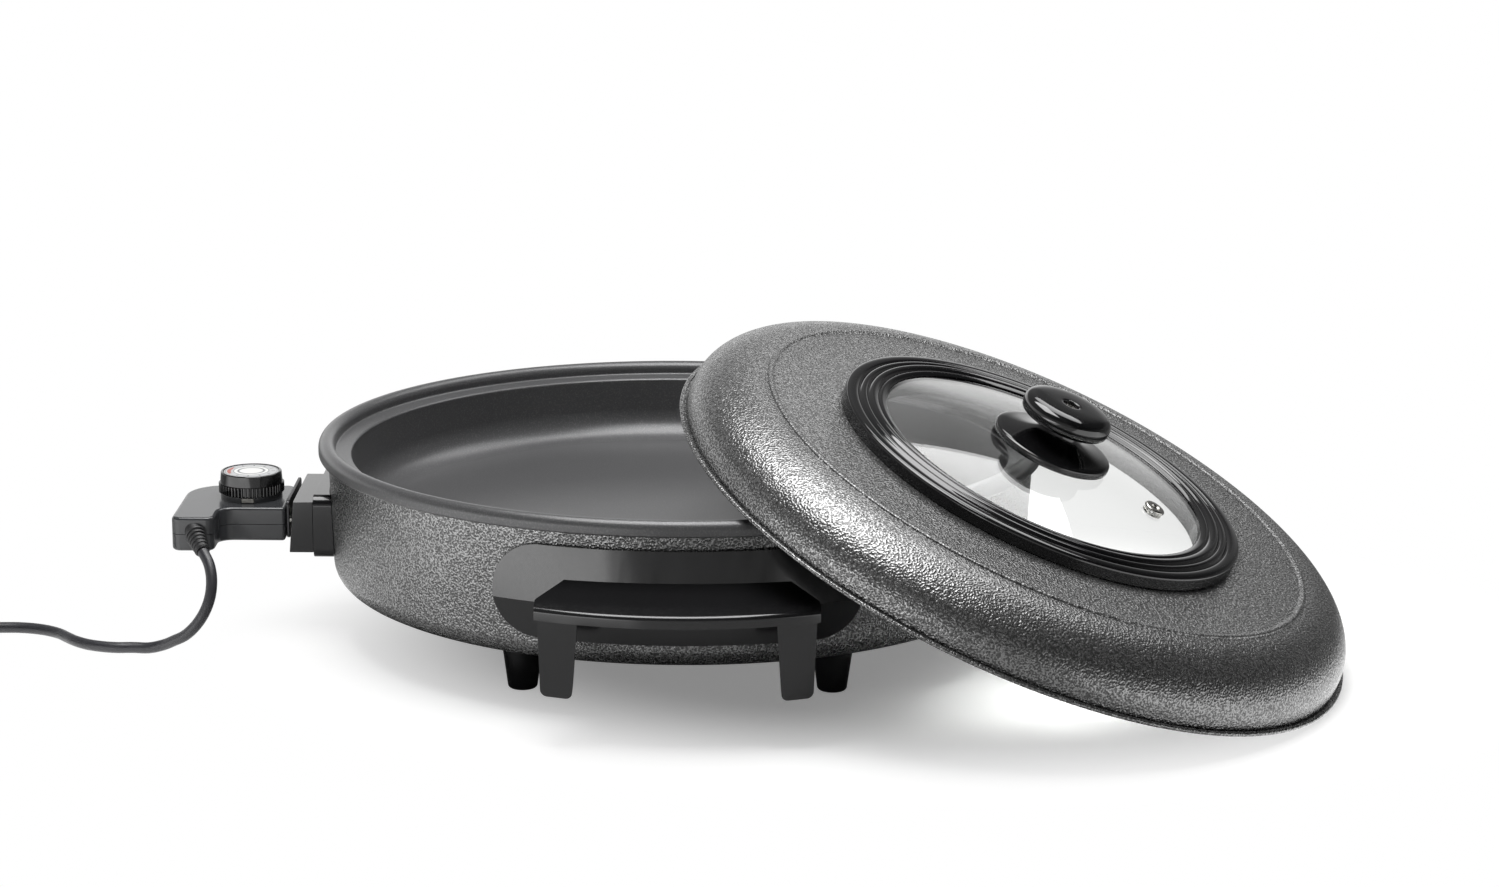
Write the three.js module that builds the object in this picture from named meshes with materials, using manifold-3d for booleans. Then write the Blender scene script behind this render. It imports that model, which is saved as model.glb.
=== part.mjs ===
// Round electric party pan with a plug-in thermostat controller and a loose domed lid.
// Millimetres, +Z up. The pan's axis is x = y = 0 and the table is z = 0 until the last lines,
// which move the whole to the middle of its outline. The front handle points to -Y and the
// controller to -X. The lid leans on the pan's rim with its lower edge on the table.
import * as THREE from 'three';
import { mergeVertices } from 'three/addons/utils/BufferGeometryUtils.js';
import Module from 'manifold-3d';

const wasm = await Module();
wasm.setup();

const clearance = 0.3;
const overrun = 2;
const sameSpot = 0.0001;
const sides = { large: 40, middle: 24, small: 12, tiny: 8, cord: 8, turn: 6 };
const quarter = Math.PI / 2;

const foot = {
  height: 31.1, topR: 12.5, waistR: 10.5, waistZ: 19, bottomR: 8, edgeR: 2,
  inset: 52.2, turn: 57.4 * Math.PI / 180, recessDepth: 8,
};
const screw = { shankR: 2, headR: 3.5, headHeight: 2.4, recessR: 4.2, reach: 9 };
const jacket = { height: 73.8, wall: 1.6, taper: 2.8, rimInset: 5.5, cornerR: 12 };
const bowl = {
  rimR: 210, lipWidth: 9.6, lipHeight: 8.6, lipDepth: 7.5, lipChamfer: 1,
  ledgeWidth: 8.8, ledgeDrop: 1.3, ledgeEdge: 0.8, wallTaper: 1.3, wall: 3.2, shoulderDrop: 4.3,
  depth: 45.8, floor: 3.5, filletR: 10,
};
const element = { tubeR: 3.5, ringR: 120, legY: 15, bend: 13, pinR: 3, pinHoleR: 3.8, legGap: 2.1 };
const pinLength = 22.7;
const probe = { sleeveR: 4.2, sleeveWall: 0.85, sleeveLength: 75, sleeveStand: 1.5, rodR: 3, tipGap: 10 };
const shroud = { stand: 6.5, width: 76, height: 37, sideWall: 6.5, topWall: 3.5, cornerR: 6, rise: 3.5 };
const block = { length: 14, width: 70, drop: 0.5, noseGap: 0.5, noseDepth: 4.8, cornerR: 3 };
const socket = { wall: 1, boreGap: 0.3, noseInset: 1.5 };
const guard = { thickness: 1.8, width: 60, height: 22.5, rise: 7, cornerR: 3 };
const housing = {
  length: 62.3, frontY: -34, backY: 21, legY: -58, legWidth: 24.5, drop: 5.5,
  baseHeight: 9.7, coverHeight: 9.8, wall: 1.8, cornerR: 5, backCornerR: 22, innerCornerR: 8,
  bossR: 4.2, bossInset: 8.3, bossFromLegEnd: 12, pilotR: 1.4, pilotDepth: 6,
};
const housingScrew = { shankR: 1.1, headR: 3, headHeight: 1.6, recessR: 3.3, recessDepth: 3.5 };
const dial = {
  inset: 22.8, y: -6.5, bandR: 19, bandHeight: 5.7, tooth: 0.8, teeth: 30, topR: 17.7, shoulderR: 18.2,
  height: 12.2, edgeR: 1, faceR: 16, faceHeight: 0.9, faceRecess: 1.3, boreDepth: 8.5, spindleR: 3,
};
const collar = { r: 18, height: 3.2, windowWidth: 7, windowHeight: 2.6, windowDepth: 1.6 };
const switchBlock = { x: 26, y: 24, z: 8 };
const relief = { rootR: 5.1, tipR: 4.3, ribs: 6, ribRise: 0.7, ribShare: 0.25, length: 30 };

const handle = {
  plateHalf: 98, plateHeight: 51.3, rise: 14.8, endR: 25, creaseRise: 21.1,
  lowStand: 3.7, creaseStand: 7.9, topStand: 2.8,
  reach: 42, frontR: 185, rootInset: 15, rootHalf: 59, rootIn: 10, half: 73.7, flareOut: 15, cornerR: 8,
  crestRise: 28.9, slope: 0.137, shelf: 4.5, lipDepth: 3.5, lipHeight: 6.3, edge: 1.5,
  legTopIn: 50.8, legTopOut: 72, legFootIn: 54, legFootOut: 70.5, legFootRise: -18.2, legDepth: 14,
  legEdgeR: 3.5, legInset: 0.5,
  screwX: 30, screwRise: 18, recessDepth: 3.2, screwReach: 14,
};

const lean = {
  azimuth: -24.5 * Math.PI / 180, outset: 4.9, lowTilt: 0.3, highTilt: 0.6, touch: 0.85,
  tries: 40, stepsPerTurn: 1440,
};
const shell = {
  fit: 0.9, flange: 3.6, turnIn: 11.2, flangeHeight: 2.2, edge: 0.5, groove: 1.3, grooveDepth: 1.1,
  skirtHeight: 7, wall: 1.3, shoulderR: 34.9, height: 34.8, crownRise: 1.3, holeR: 109.8,
};
const ring = {
  width: 23.6, outerStep: 7.7, height: 9, collar: 5.2, collarDepth: 5.9, tip: 0.2,
  profileShares: [
    [1, 0.678], [0.958, 0.8], [0.831, 0.722], [0.746, 0.889], [0.619, 0.822], [0.513, 1], [0.047, 0.911],
    [0, 0.822],
  ],
};
const clamp = { width: 20.5, floor: 2.6, troughGap: 0.7, rim: 5.8 };
const glass = { capR: 434.7, thickness: 4, ventAt: 65.3, ventTurn: 5.7 * Math.PI / 180, ventR: 4 };
const grommet = { boreR: 2, upperR: 6, upperHeight: 1.3, lowerR: 5.5, lowerHeight: 1 };
const knobSkirt = {
  r: 33.8, height: 13.8,
  profileShares: [
    [0.985, 0], [1, 0.04], [1, 0.19], [0.96, 0.245], [0.65, 0.37], [0.385, 0.56], [0.325, 0.74],
    [0.325, 1],
  ],
};
const knobCap = {
  r: 25.5, height: 13, recessR: 4.5, recessDepth: 4.5, bevelShare: 0.12,
  profileShares: [[0.78, 0], [0.98, 0.27], [1, 0.46], [0.95, 0.77], [0.78, 0.97], [0.47, 1]],
};
const knobScrew = { shankR: 2.5, headR: 4.2, headHeight: 2.5, thread: 5 };
const knobNut = { r: 7, height: 4.2 };

const cord = { r: 3.2, steps: 34, exitRise: 4, lieZ: 3.3 };
const coil = {
  z: 4.5, startR: 43.75, pitch: 7, turns: 5, climbFrom: 2.25, climbTo: 2.75,
  turnSteps: 24, fineTurnSteps: 96,
};
const tie = { width: 8, thickness: 0.8, slack: 0.6, cornerR: 1.6, turnAt: 0.75 };
const plug = {
  sleeveLength: 24, sleeveTipR: 3.5, sleeveRootR: 5.5, r: 18.5, height: 24, edgeR: 3, lift: 0.3,
  pinR: 2.4, pinLength: 19, pinGap: 19, pinSeat: 5,
};

// The mains lead's route as chosen points, in x and y from the outer corner of the housing's leg.
// First its fall from the strain relief, with heights as shares of the whole fall, and then its way
// along the table to where the coil starts, with heights in millimetres.
const cordFallShares = [
  [20.5, -15.5, 1], [24.8, -22, 0.9021], [26.9, -27.4, 0.7687], [26.4, -31.3, 0.6139], [23.3, -33.3, 0.4591],
  [18.1, -33.2, 0.3185], [11.6, -30.7, 0.2028], [4.5, -26.3, 0.1228], [-2.7, -21.6, 0.0498],
];
const cordLie = [
  [-11.5, -19.1, 3.5], [-21, -18, 3.3], [-30.5, -18.4, 3.3], [-39.9, -16.6, 3.4], [-48.5, -12.6, 3.4],
  [-56, -6.7, 3.5], [-62.1, 0.6, 3.4], [-68.2, 7.9, 3.4], [-75.8, 13.6, 3.4], [-84.5, 17.5, 3.4],
  [-93.8, 19.4, 3.4], [-103.4, 19.4, 3.4], [-112.9, 18.3, 3.5], [-122.3, 16.9, 3.9], [-131.8, 15.9, 4.4],
  [-141.3, 15.8, 4.5],
];

// Heights and radii that follow from the sizes above.
const jacketZ = foot.height + clearance;
const jacketTopZ = jacketZ + jacket.height;
const jacketTopR = bowl.rimR - jacket.rimInset;
const jacketFootR = jacketTopR - jacket.taper;
const jacketR = (z) => jacketFootR + jacket.taper * (z - jacketZ) / jacket.height;
const rimZ = jacketTopZ + clearance;
const lipTopZ = rimZ + bowl.lipHeight;
const lipR = bowl.lipWidth / 2;
const lipMidR = bowl.rimR - lipR;
const lipMidZ = lipTopZ - lipR;
const lipInnerR = bowl.rimR - bowl.lipWidth;
const ledgeZ = lipTopZ - bowl.lipDepth;
const ledgeInnerR = lipInnerR - bowl.ledgeWidth;
const floorZ = lipTopZ - bowl.depth;
const underZ = floorZ - bowl.floor;
const elementZ = underZ - clearance - element.tubeR;
const probeZ = underZ - clearance - probe.sleeveR;
const shroudX = -(jacketTopR + shroud.stand);
const shroudZ = elementZ + shroud.rise;
const blockX = shroudX - clearance;
const guardX = blockX - block.length - clearance;
const housingX = guardX - guard.thickness - clearance;
const housingZ = elementZ - housing.drop;
const coverZ = housingZ + housing.baseHeight + clearance;
const coverTopZ = coverZ + housing.coverHeight;
const dialX = housingX - dial.inset;
const dialZ = coverTopZ + collar.height + clearance;
const switchZ = housingZ + housing.wall + clearance;
const housingLeftX = housingX - housing.length;
const cordExitZ = housingZ + cord.exitRise;
const cordRoute = [
  ...cordFallShares.map(([x, y, share]) => [x, y, cord.lieZ + share * (cordExitZ - cord.lieZ)]),
  ...cordLie,
].map(([x, y, z]) => new THREE.Vector3(housingLeftX + x, housing.legY + y, z));

// Geometry helpers.

// Only positions, with shared corners merged and collapsed faces dropped.
function closed(geometry) {
  const bare = new THREE.BufferGeometry();
  bare.setAttribute('position', geometry.getAttribute('position').clone());
  bare.setIndex(geometry.getIndex() ? geometry.getIndex().clone() : null);
  const merged = mergeVertices(bare, sameSpot);
  const from = merged.getIndex().array;
  const kept = [];
  for (let i = 0; i < from.length; i += 3) {
    const [a, b, c] = [from[i], from[i + 1], from[i + 2]];
    if (a !== b && b !== c && c !== a) kept.push(a, b, c);
  }
  merged.setIndex(kept);
  return merged;
}

function toSolid(geometry) {
  const merged = closed(geometry);
  return new wasm.Manifold(new wasm.Mesh({
    numProp: 3,
    vertProperties: new Float32Array(merged.getAttribute('position').array),
    triVerts: new Uint32Array(merged.getIndex().array),
  }));
}

function fromSolid(solid) {
  const mesh = solid.getMesh();
  const geometry = new THREE.BufferGeometry();
  const positions = new Float32Array(mesh.vertProperties);
  geometry.setAttribute('position', new THREE.BufferAttribute(positions, 3));
  geometry.setIndex(new THREE.BufferAttribute(new Uint32Array(mesh.triVerts), 1));
  return geometry;
}

const join = (first, ...rest) => fromSolid(
  rest.reduce((all, next) => all.add(toSolid(next)), toSolid(first)),
);
const cut = (first, ...rest) => fromSolid(
  rest.reduce((all, next) => all.subtract(toSolid(next)), toSolid(first)),
);
const common = (first, second) => fromSolid(toSolid(first).intersect(toSolid(second)));

// A closed outline through corners [x, y, radius], each radius rounded by an arc.
function outline(corners, steps = 4) {
  const points = [];
  corners.forEach(([x, y, radius], i) => {
    const corner = new THREE.Vector2(x, y);
    if (!radius) {
      points.push(corner);
      return;
    }
    const before = corners[(i + corners.length - 1) % corners.length];
    const after = corners[(i + 1) % corners.length];
    const back = new THREE.Vector2(before[0], before[1]).sub(corner).normalize();
    const ahead = new THREE.Vector2(after[0], after[1]).sub(corner).normalize();
    const half = Math.acos(back.dot(ahead)) / 2;
    const start = corner.clone().addScaledVector(back, radius / Math.tan(half));
    const inward = back.clone().add(ahead).normalize();
    const middle = corner.clone().addScaledVector(inward, radius / Math.sin(half));
    const sweep = Math.sign(back.cross(ahead)) * (2 * half - Math.PI);
    for (let step = 0; step <= steps; step += 1) {
      points.push(start.clone().rotateAround(middle, sweep * step / steps));
    }
  });
  return points;
}

// A profile of [radius, height] turned round Z. It starts and ends on the axis or closes on itself.
function turned(points, count) {
  const list = points.map((point) => (point.isVector2 ? point : new THREE.Vector2(...point)));
  const profile = list[0].x === 0 ? list : [...list, list[0]];
  return new THREE.LatheGeometry(profile, count).rotateX(quarter);
}

const rod = (radius, from, to, count = sides.small) => turned(
  [[0, from], [radius, from], [radius, to], [0, to]],
  count,
);
const alongX = (geometry) => geometry.rotateY(quarter);
const alongY = (geometry) => geometry.rotateX(-quarter);

function prismZ(points, from, to) {
  const shape = new THREE.Shape(points);
  const solid = new THREE.ExtrudeGeometry(shape, { depth: to - from, bevelEnabled: false });
  return solid.translate(0, 0, from);
}
// Outlines in (y, z) stretched along X, and in (x, z) along Y.
const prismX = (points, from, to) => prismZ(points, from, to).rotateX(quarter).rotateZ(quarter);
const prismY = (points, from, to) => prismZ(points, -to, -from).rotateX(quarter);

const rectangle = (x0, x1, y0, y1, radius = 0, steps = 4) => outline(
  [[x0, y0, radius], [x1, y0, radius], [x1, y1, radius], [x0, y1, radius]],
  steps,
);

const circle = (radius, count) => Array.from({ length: count }, (_, i) => new THREE.Vector2(
  radius * Math.cos(2 * Math.PI * i / count),
  radius * Math.sin(2 * Math.PI * i / count),
));

function tubeAlong(curve, radius, steps, count) {
  const section = new THREE.Shape(circle(radius, count));
  return new THREE.ExtrudeGeometry(section, { steps, bevelEnabled: false, extrudePath: curve });
}

// A screw along +Z with its head's seat at height 0 and its tip at the given depth below.
const screwBody = (shankR, headR, headHeight, depth, count = sides.tiny) => turned([
  [0, -depth],
  [shankR, -depth],
  [shankR, 0],
  [headR, 0],
  [headR, headHeight],
  [0, headHeight],
], count);

// Materials.
const look = (color, roughness, metalness) => () => new THREE.MeshStandardMaterial({
  color, roughness, metalness,
});
const hammered = look(0x5a5c60, 0.42, 0.7);
const nonStick = look(0x2c2c2f, 0.5, 0.3);
const blackPlastic = look(0x161617, 0.45, 0);
const glossPlastic = look(0x0e0e10, 0.18, 0);
const housingPlastic = look(0x2a2b2d, 0.5, 0);
const steel = look(0xb9bbbd, 0.3, 1);
const darkSteel = look(0x6d6b68, 0.5, 0.9);
const silver = look(0xc9cacb, 0.25, 0.9);
const clearGlass = look(0xdfe7e6, 0.05, 0);
const rubber = look(0x1a1a1b, 0.8, 0);
const cordJacket = look(0x17171a, 0.55, 0);
const strap = look(0x111113, 0.9, 0);
const windowPlastic = look(0xd8d6cf, 0.3, 0);

const whole = new THREE.Group();
const cordGroup = new THREE.Group();
const lidGroup = new THREE.Group();
const body = new THREE.Group();
body.add(lidGroup);
whole.add(body, cordGroup);

function piece(name, geometry, material, parent = body) {
  const mesh = new THREE.Mesh(closed(geometry), material());
  mesh.name = name;
  parent.add(mesh);
  return mesh;
}

// Bowl: cast, with a rolled lip and a sunk ledge that carries the lid.
const wallTopR = ledgeInnerR - bowl.ledgeEdge;
const wallFootR = wallTopR - bowl.wallTaper;
const lipSteps = 6;
const lipArc = Array.from({ length: lipSteps + 1 }, (_, i) => [
  lipMidR + lipR * Math.cos(Math.PI * i / lipSteps),
  lipMidZ + lipR * Math.sin(Math.PI * i / lipSteps),
]);
piece('inner_pan', turned(outline([
  [0, underZ],
  [wallFootR + bowl.wall, underZ, bowl.filletR + bowl.wall],
  [wallTopR + bowl.wall, ledgeZ - bowl.ledgeDrop - bowl.shoulderDrop],
  [lipInnerR, rimZ],
  [bowl.rimR - bowl.lipChamfer, rimZ],
  [bowl.rimR, rimZ + bowl.lipChamfer],
  ...lipArc,
  [lipInnerR, ledgeZ],
  [ledgeInnerR, ledgeZ - bowl.ledgeDrop],
  [wallTopR, ledgeZ - bowl.ledgeDrop - bowl.ledgeEdge],
  [wallFootR, floorZ, bowl.filletR],
  [0, floorZ],
], 3), sides.large), nonStick);

// Jacket: the hammered shell round the bowl, with holes for pins, sleeve and screws.
const screwHoleR = screw.shankR + clearance;
const footX = (bowl.rimR - foot.inset) * Math.cos(foot.turn);
const footY = (bowl.rimR - foot.inset) * Math.sin(foot.turn);
const footPlaces = [
  ['front_left', -footX, -footY],
  ['front_right', footX, -footY],
  ['back_left', -footX, footY],
  ['back_right', footX, footY],
];
const plateZ = jacketZ + handle.rise;
const handleScrewZ = plateZ + handle.screwRise;
const jacketShell = turned(outline([
  [0, jacketZ],
  [jacketFootR, jacketZ, jacket.cornerR],
  [jacketTopR, jacketTopZ],
  [jacketTopR - jacket.wall, jacketTopZ],
  [jacketFootR - jacket.wall, jacketZ + jacket.wall, jacket.cornerR - jacket.wall],
  [0, jacketZ + jacket.wall],
], 3), sides.large);
const wallCutFrom = jacketFootR - jacket.wall - jacket.cornerR;
const wallCutTo = jacketTopR + overrun;
const jacketHoles = [
  ...[-element.legY, element.legY].map((y) => alongX(rod(element.pinHoleR, -wallCutTo, -wallCutFrom))
    .translate(0, y, elementZ)),
  alongX(rod(probe.sleeveR + clearance, -wallCutTo, -wallCutFrom)).translate(0, 0, probeZ),
  ...footPlaces.map(([, x, y]) => rod(screwHoleR, jacketZ - overrun, jacketZ + jacket.wall + overrun)
    .translate(x, y, 0)),
  ...[-handle.screwX, handle.screwX].flatMap((x) => [[-wallCutTo, -wallCutFrom], [wallCutFrom, wallCutTo]]
    .map(([from, to]) => alongY(rod(screwHoleR, from, to)).translate(x, 0, handleScrewZ))),
];
piece('outer_jacket', cut(jacketShell, ...jacketHoles), hammered);

// Heating element: a sheathed tube in a C under the floor, with two straight legs to the pins.
const legEndX = -(jacketFootR - jacket.wall - element.legGap);
const ringFrom = Math.PI - Math.asin((element.legY + element.bend) / element.ringR);
const ringSteps = 24;
const elementSteps = 40;
const ringPoints = Array.from({ length: ringSteps + 1 }, (_, i) => {
  const angle = ringFrom - 2 * ringFrom * i / ringSteps;
  return new THREE.Vector3(element.ringR * Math.cos(angle), element.ringR * Math.sin(angle), 0);
});
const legPoints = (side) => [0, 1, 2, 3].map((i) => new THREE.Vector3(
  legEndX + (-element.ringR - element.bend - legEndX) * i / 3,
  side * element.legY,
  0,
));
const elementCurve = new THREE.CatmullRomCurve3([...legPoints(1), ...ringPoints, ...legPoints(-1).reverse()]);
const elementTube = tubeAlong(elementCurve, element.tubeR, elementSteps, sides.turn);
piece('heating_element', elementTube.translate(0, 0, elementZ), darkSteel);

const pinEndX = legEndX - clearance - pinLength;
[['front', -1], ['back', 1]].forEach(([word, side]) => {
  piece(
    `terminal_pin_${word}`,
    alongX(rod(element.pinR, pinEndX, legEndX - clearance)).translate(0, side * element.legY, elementZ),
    steel,
  );
});

// Probe sleeve: closed at its inner end.
const sleeveX = -(jacketTopR + probe.sleeveStand);
const sleeveEndX = sleeveX + probe.sleeveLength;
const sleeveBoreR = probe.sleeveR - probe.sleeveWall;
piece('probe_sleeve', alongX(turned([
  [0, sleeveEndX - probe.sleeveWall],
  [sleeveBoreR, sleeveEndX - probe.sleeveWall],
  [sleeveBoreR, sleeveX],
  [probe.sleeveR, sleeveX],
  [probe.sleeveR, sleeveEndX],
  [0, sleeveEndX],
], sides.small)).translate(0, 0, probeZ), darkSteel);

// Socket shroud: a frame round the pins, fitted to the jacket.
const shroudHalf = shroud.width / 2;
const openHalf = shroudHalf - shroud.sideWall;
const shroudBottomZ = shroudZ - shroud.height / 2;
const shroudTopZ = shroudZ + shroud.height / 2;
const openBottomZ = shroudBottomZ + shroud.topWall;
const openTopZ = shroudTopZ - shroud.topWall;
const aroundJacket = (gap, low, high) => turned([
  [0, low],
  [jacketR(low) + gap, low],
  [jacketR(high) + gap, high],
  [0, high],
], sides.large);
const shroudBackX = -Math.sqrt(jacketFootR ** 2 - shroudHalf ** 2) + overrun;
piece('socket_shroud', cut(
  prismX(rectangle(-shroudHalf, shroudHalf, shroudBottomZ, shroudTopZ, shroud.cornerR), shroudX, shroudBackX),
  prismX(
    rectangle(-openHalf, openHalf, openBottomZ, openTopZ, shroud.cornerR - shroud.topWall),
    shroudX - overrun,
    shroudBackX + overrun,
  ),
  aroundJacket(clearance, shroudBottomZ - overrun, shroudTopZ + overrun),
), blackPlastic);

// Handles: a plate that follows the jacket, a sloping shelf to grip and two guards downward.
const plateTopZ = plateZ + handle.plateHeight;
const creaseZ = plateZ + handle.creaseRise;
const crestZ = plateZ + handle.crestRise;
const gripY = bowl.rimR + handle.reach - handle.frontR;
const gripBackR = jacketFootR - gripY - handle.rootInset;
const slopeTo = (radius) => crestZ + handle.slope * (handle.frontR - radius);
const lipBackR = handle.frontR - handle.lipDepth;
const standAt = (z) => handle.lowStand
  + (handle.creaseStand - handle.lowStand) * (z - plateZ) / handle.creaseRise;
const rootY = bowl.rimR - handle.rootIn;
const flareY = bowl.rimR + handle.flareOut;
const gripFrontY = bowl.rimR + handle.reach;

function handleBody() {
  const plate = common(
    turned([
      [jacketR(plateZ) + clearance, plateZ],
      [jacketR(plateZ) + handle.lowStand, plateZ],
      [jacketR(creaseZ) + handle.creaseStand, creaseZ],
      [jacketR(plateTopZ) + handle.topStand, plateTopZ],
      [jacketR(plateTopZ) + clearance, plateTopZ],
    ], sides.large),
    prismY(
      rectangle(-handle.plateHalf, handle.plateHalf, plateZ, plateTopZ, handle.endR, 6),
      -gripFrontY,
      0,
    ),
  );
  const aboutGrip = (points) => turned(points, sides.large).translate(0, -gripY, 0);
  const shelfPlan = [-1, 1].flatMap((side) => {
    const half = [
      [side * handle.rootHalf, 0],
      [side * handle.rootHalf, -rootY],
      [side * handle.half, -flareY, handle.cornerR],
      [side * handle.half, -gripFrontY - overrun],
    ];
    return side < 0 ? half : half.reverse();
  });
  const shelf = common(
    aboutGrip([
      [gripBackR, slopeTo(gripBackR) - handle.shelf],
      [lipBackR, slopeTo(lipBackR) - handle.shelf],
      [lipBackR, crestZ - handle.lipHeight],
      [handle.frontR, crestZ - handle.lipHeight],
      [handle.frontR, crestZ - handle.edge],
      [handle.frontR - handle.edge, slopeTo(handle.frontR - handle.edge)],
      [gripBackR, slopeTo(gripBackR)],
    ]),
    prismZ(outline(shelfPlan), crestZ - handle.plateHeight, crestZ + handle.plateHeight),
  );
  const legTopZ = crestZ - handle.edge - clearance;
  const legFootZ = plateZ + handle.legFootRise;
  const legs = [-1, 1].map((side) => common(
    aboutGrip([
      [handle.frontR - handle.legDepth, legFootZ],
      [handle.frontR - handle.legInset, legFootZ],
      [handle.frontR - handle.legInset, legTopZ],
      [handle.frontR - handle.legDepth, legTopZ],
    ]),
    prismY(outline([
      [side * handle.legFootIn, legFootZ, handle.legEdgeR],
      [side * handle.legFootOut, legFootZ, handle.legEdgeR],
      [side * handle.legTopOut, legTopZ],
      [side * handle.legTopIn, legTopZ],
    ]), -gripFrontY - overrun, -rootY),
  ));
  const screwCuts = [-handle.screwX, handle.screwX].flatMap((x) => [
    alongY(rod(screwHoleR, -bowl.rimR, -wallCutFrom)).translate(x, 0, handleScrewZ),
    alongY(rod(screw.recessR, -gripFrontY, handleSeatY())).translate(x, 0, handleScrewZ),
  ]);
  return cut(
    join(plate, shelf, ...legs),
    aroundJacket(clearance, plateZ - overrun, plateTopZ + overrun),
    ...screwCuts,
  );
}

// The plane in the handle's plate that a screw's head bears on.
function handleSeatY() {
  const faceR = jacketR(handleScrewZ) + standAt(handleScrewZ);
  return -Math.sqrt(faceR ** 2 - handle.screwX ** 2) + handle.recessDepth;
}

const handleGeometry = handleBody();
[['front', 0], ['back', Math.PI]].forEach(([word, turn]) => {
  piece(`handle_${word}`, handleGeometry.clone().rotateZ(turn), blackPlastic);
  [['left', -1], ['right', 1]].forEach(([hand, side]) => {
    const geometry = screwBody(screw.shankR, screw.headR, screw.headHeight, handle.screwReach)
      .rotateX(quarter)
      .translate(side * handle.screwX, handleSeatY() - clearance, handleScrewZ)
      .rotateZ(turn);
    piece(`handle_screw_${word}_${hand}`, geometry, steel);
  });
});

// Feet: tapered and screwed up into the jacket from a recess underneath.
footPlaces.forEach(([word, x, y]) => {
  piece(`foot_${word}`, turned(outline([
    [screw.recessR, 0],
    [foot.bottomR, 0, foot.edgeR],
    [foot.waistR, foot.waistZ],
    [foot.topR, foot.height],
    [screwHoleR, foot.height],
    [screwHoleR, foot.recessDepth],
    [screw.recessR, foot.recessDepth],
  ], 3), sides.small).translate(x, y, 0), blackPlastic);
  const depth = foot.height - foot.recessDepth + screw.reach;
  piece(`foot_screw_${word}`, screwBody(screw.shankR, screw.headR, screw.headHeight, depth)
    .rotateX(2 * quarter)
    .translate(x, y, foot.recessDepth - clearance), steel);
});

// Plug block with two contact sockets and the bore for the probe.
const socketR = element.pinR + clearance + socket.wall;
const rodHoleR = probe.rodR + clearance;
const blockHalf = block.width / 2;
const noseHalf = openHalf - block.noseGap;
const noseX = blockX + block.noseDepth;
const guardBackX = blockX - block.length;
piece('plug_block', cut(
  join(
    prismX(
      rectangle(-blockHalf, blockHalf, openBottomZ - block.drop, openTopZ - block.drop, block.cornerR),
      guardBackX,
      blockX,
    ),
    prismX(
      rectangle(-noseHalf, noseHalf, openBottomZ + block.noseGap, openTopZ - block.noseGap, block.cornerR),
      blockX - overrun,
      noseX,
    ),
  ),
  alongX(rod(rodHoleR, guardBackX - overrun, noseX + overrun)).translate(0, 0, probeZ),
  ...[-1, 1].map((side) => alongX(rod(socketR + socket.boreGap, guardBackX - overrun, noseX + overrun))
    .translate(0, side * element.legY, elementZ)),
), blackPlastic);
[['front', -1], ['back', 1]].forEach(([word, side]) => {
  const bore = element.pinR + clearance;
  piece(`contact_socket_${word}`, alongX(turned([
    [bore, guardBackX],
    [socketR, guardBackX],
    [socketR, noseX - socket.noseInset],
    [bore, noseX - socket.noseInset],
  ], sides.small)).translate(0, side * element.legY, elementZ), steel);
});

const guardZ = openBottomZ + guard.rise - block.drop;
piece('guard_plate', cut(
  prismX(
    rectangle(-guard.width / 2, guard.width / 2, guardZ, guardZ + guard.height, guard.cornerR),
    guardX - guard.thickness,
    guardX,
  ),
  alongX(rod(rodHoleR, guardX - guard.thickness - overrun, guardX + overrun)).translate(0, 0, probeZ),
), darkSteel);

// Controller housing: an L in plan, in two halves.
const legRightX = housingLeftX + housing.legWidth;
const bosses = [
  [housingX - housing.bossInset, housing.backY - housing.bossInset],
  [housingLeftX + housing.legWidth / 2, housing.legY + housing.bossFromLegEnd],
];
const housingPlan = (inset) => outline([
  [housingX - inset, housing.frontY + inset, housing.cornerR - inset],
  [housingX - inset, housing.backY - inset, housing.cornerR - inset],
  [housingLeftX + inset, housing.backY - inset, housing.backCornerR - inset],
  [housingLeftX + inset, housing.legY + inset, housing.cornerR - inset],
  [legRightX - inset, housing.legY + inset, housing.cornerR - inset],
  [legRightX - inset, housing.frontY + inset, housing.innerCornerR + inset],
]);
const baseTopZ = housingZ + housing.baseHeight;
const roofZ = coverTopZ - housing.wall;
const bossRods = (radius, from, to) => bosses.map(
  ([x, y]) => rod(radius, from, to, sides.tiny).translate(x, y, 0),
);
piece('controller_base', cut(
  join(
    cut(
      prismZ(housingPlan(0), housingZ, baseTopZ),
      prismZ(housingPlan(housing.wall), housingZ + housing.wall, baseTopZ + overrun),
    ),
    ...bossRods(housing.bossR, housingZ + housing.wall / 2, baseTopZ),
  ),
  ...bossRods(housingScrew.recessR, housingZ - overrun, housingZ + housingScrew.recessDepth),
  ...bossRods(housing.pilotR, housingZ, baseTopZ + overrun),
  alongX(rod(rodHoleR, housingX - housing.wall - overrun, housingX + overrun)).translate(0, 0, probeZ),
), housingPlastic);

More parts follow.
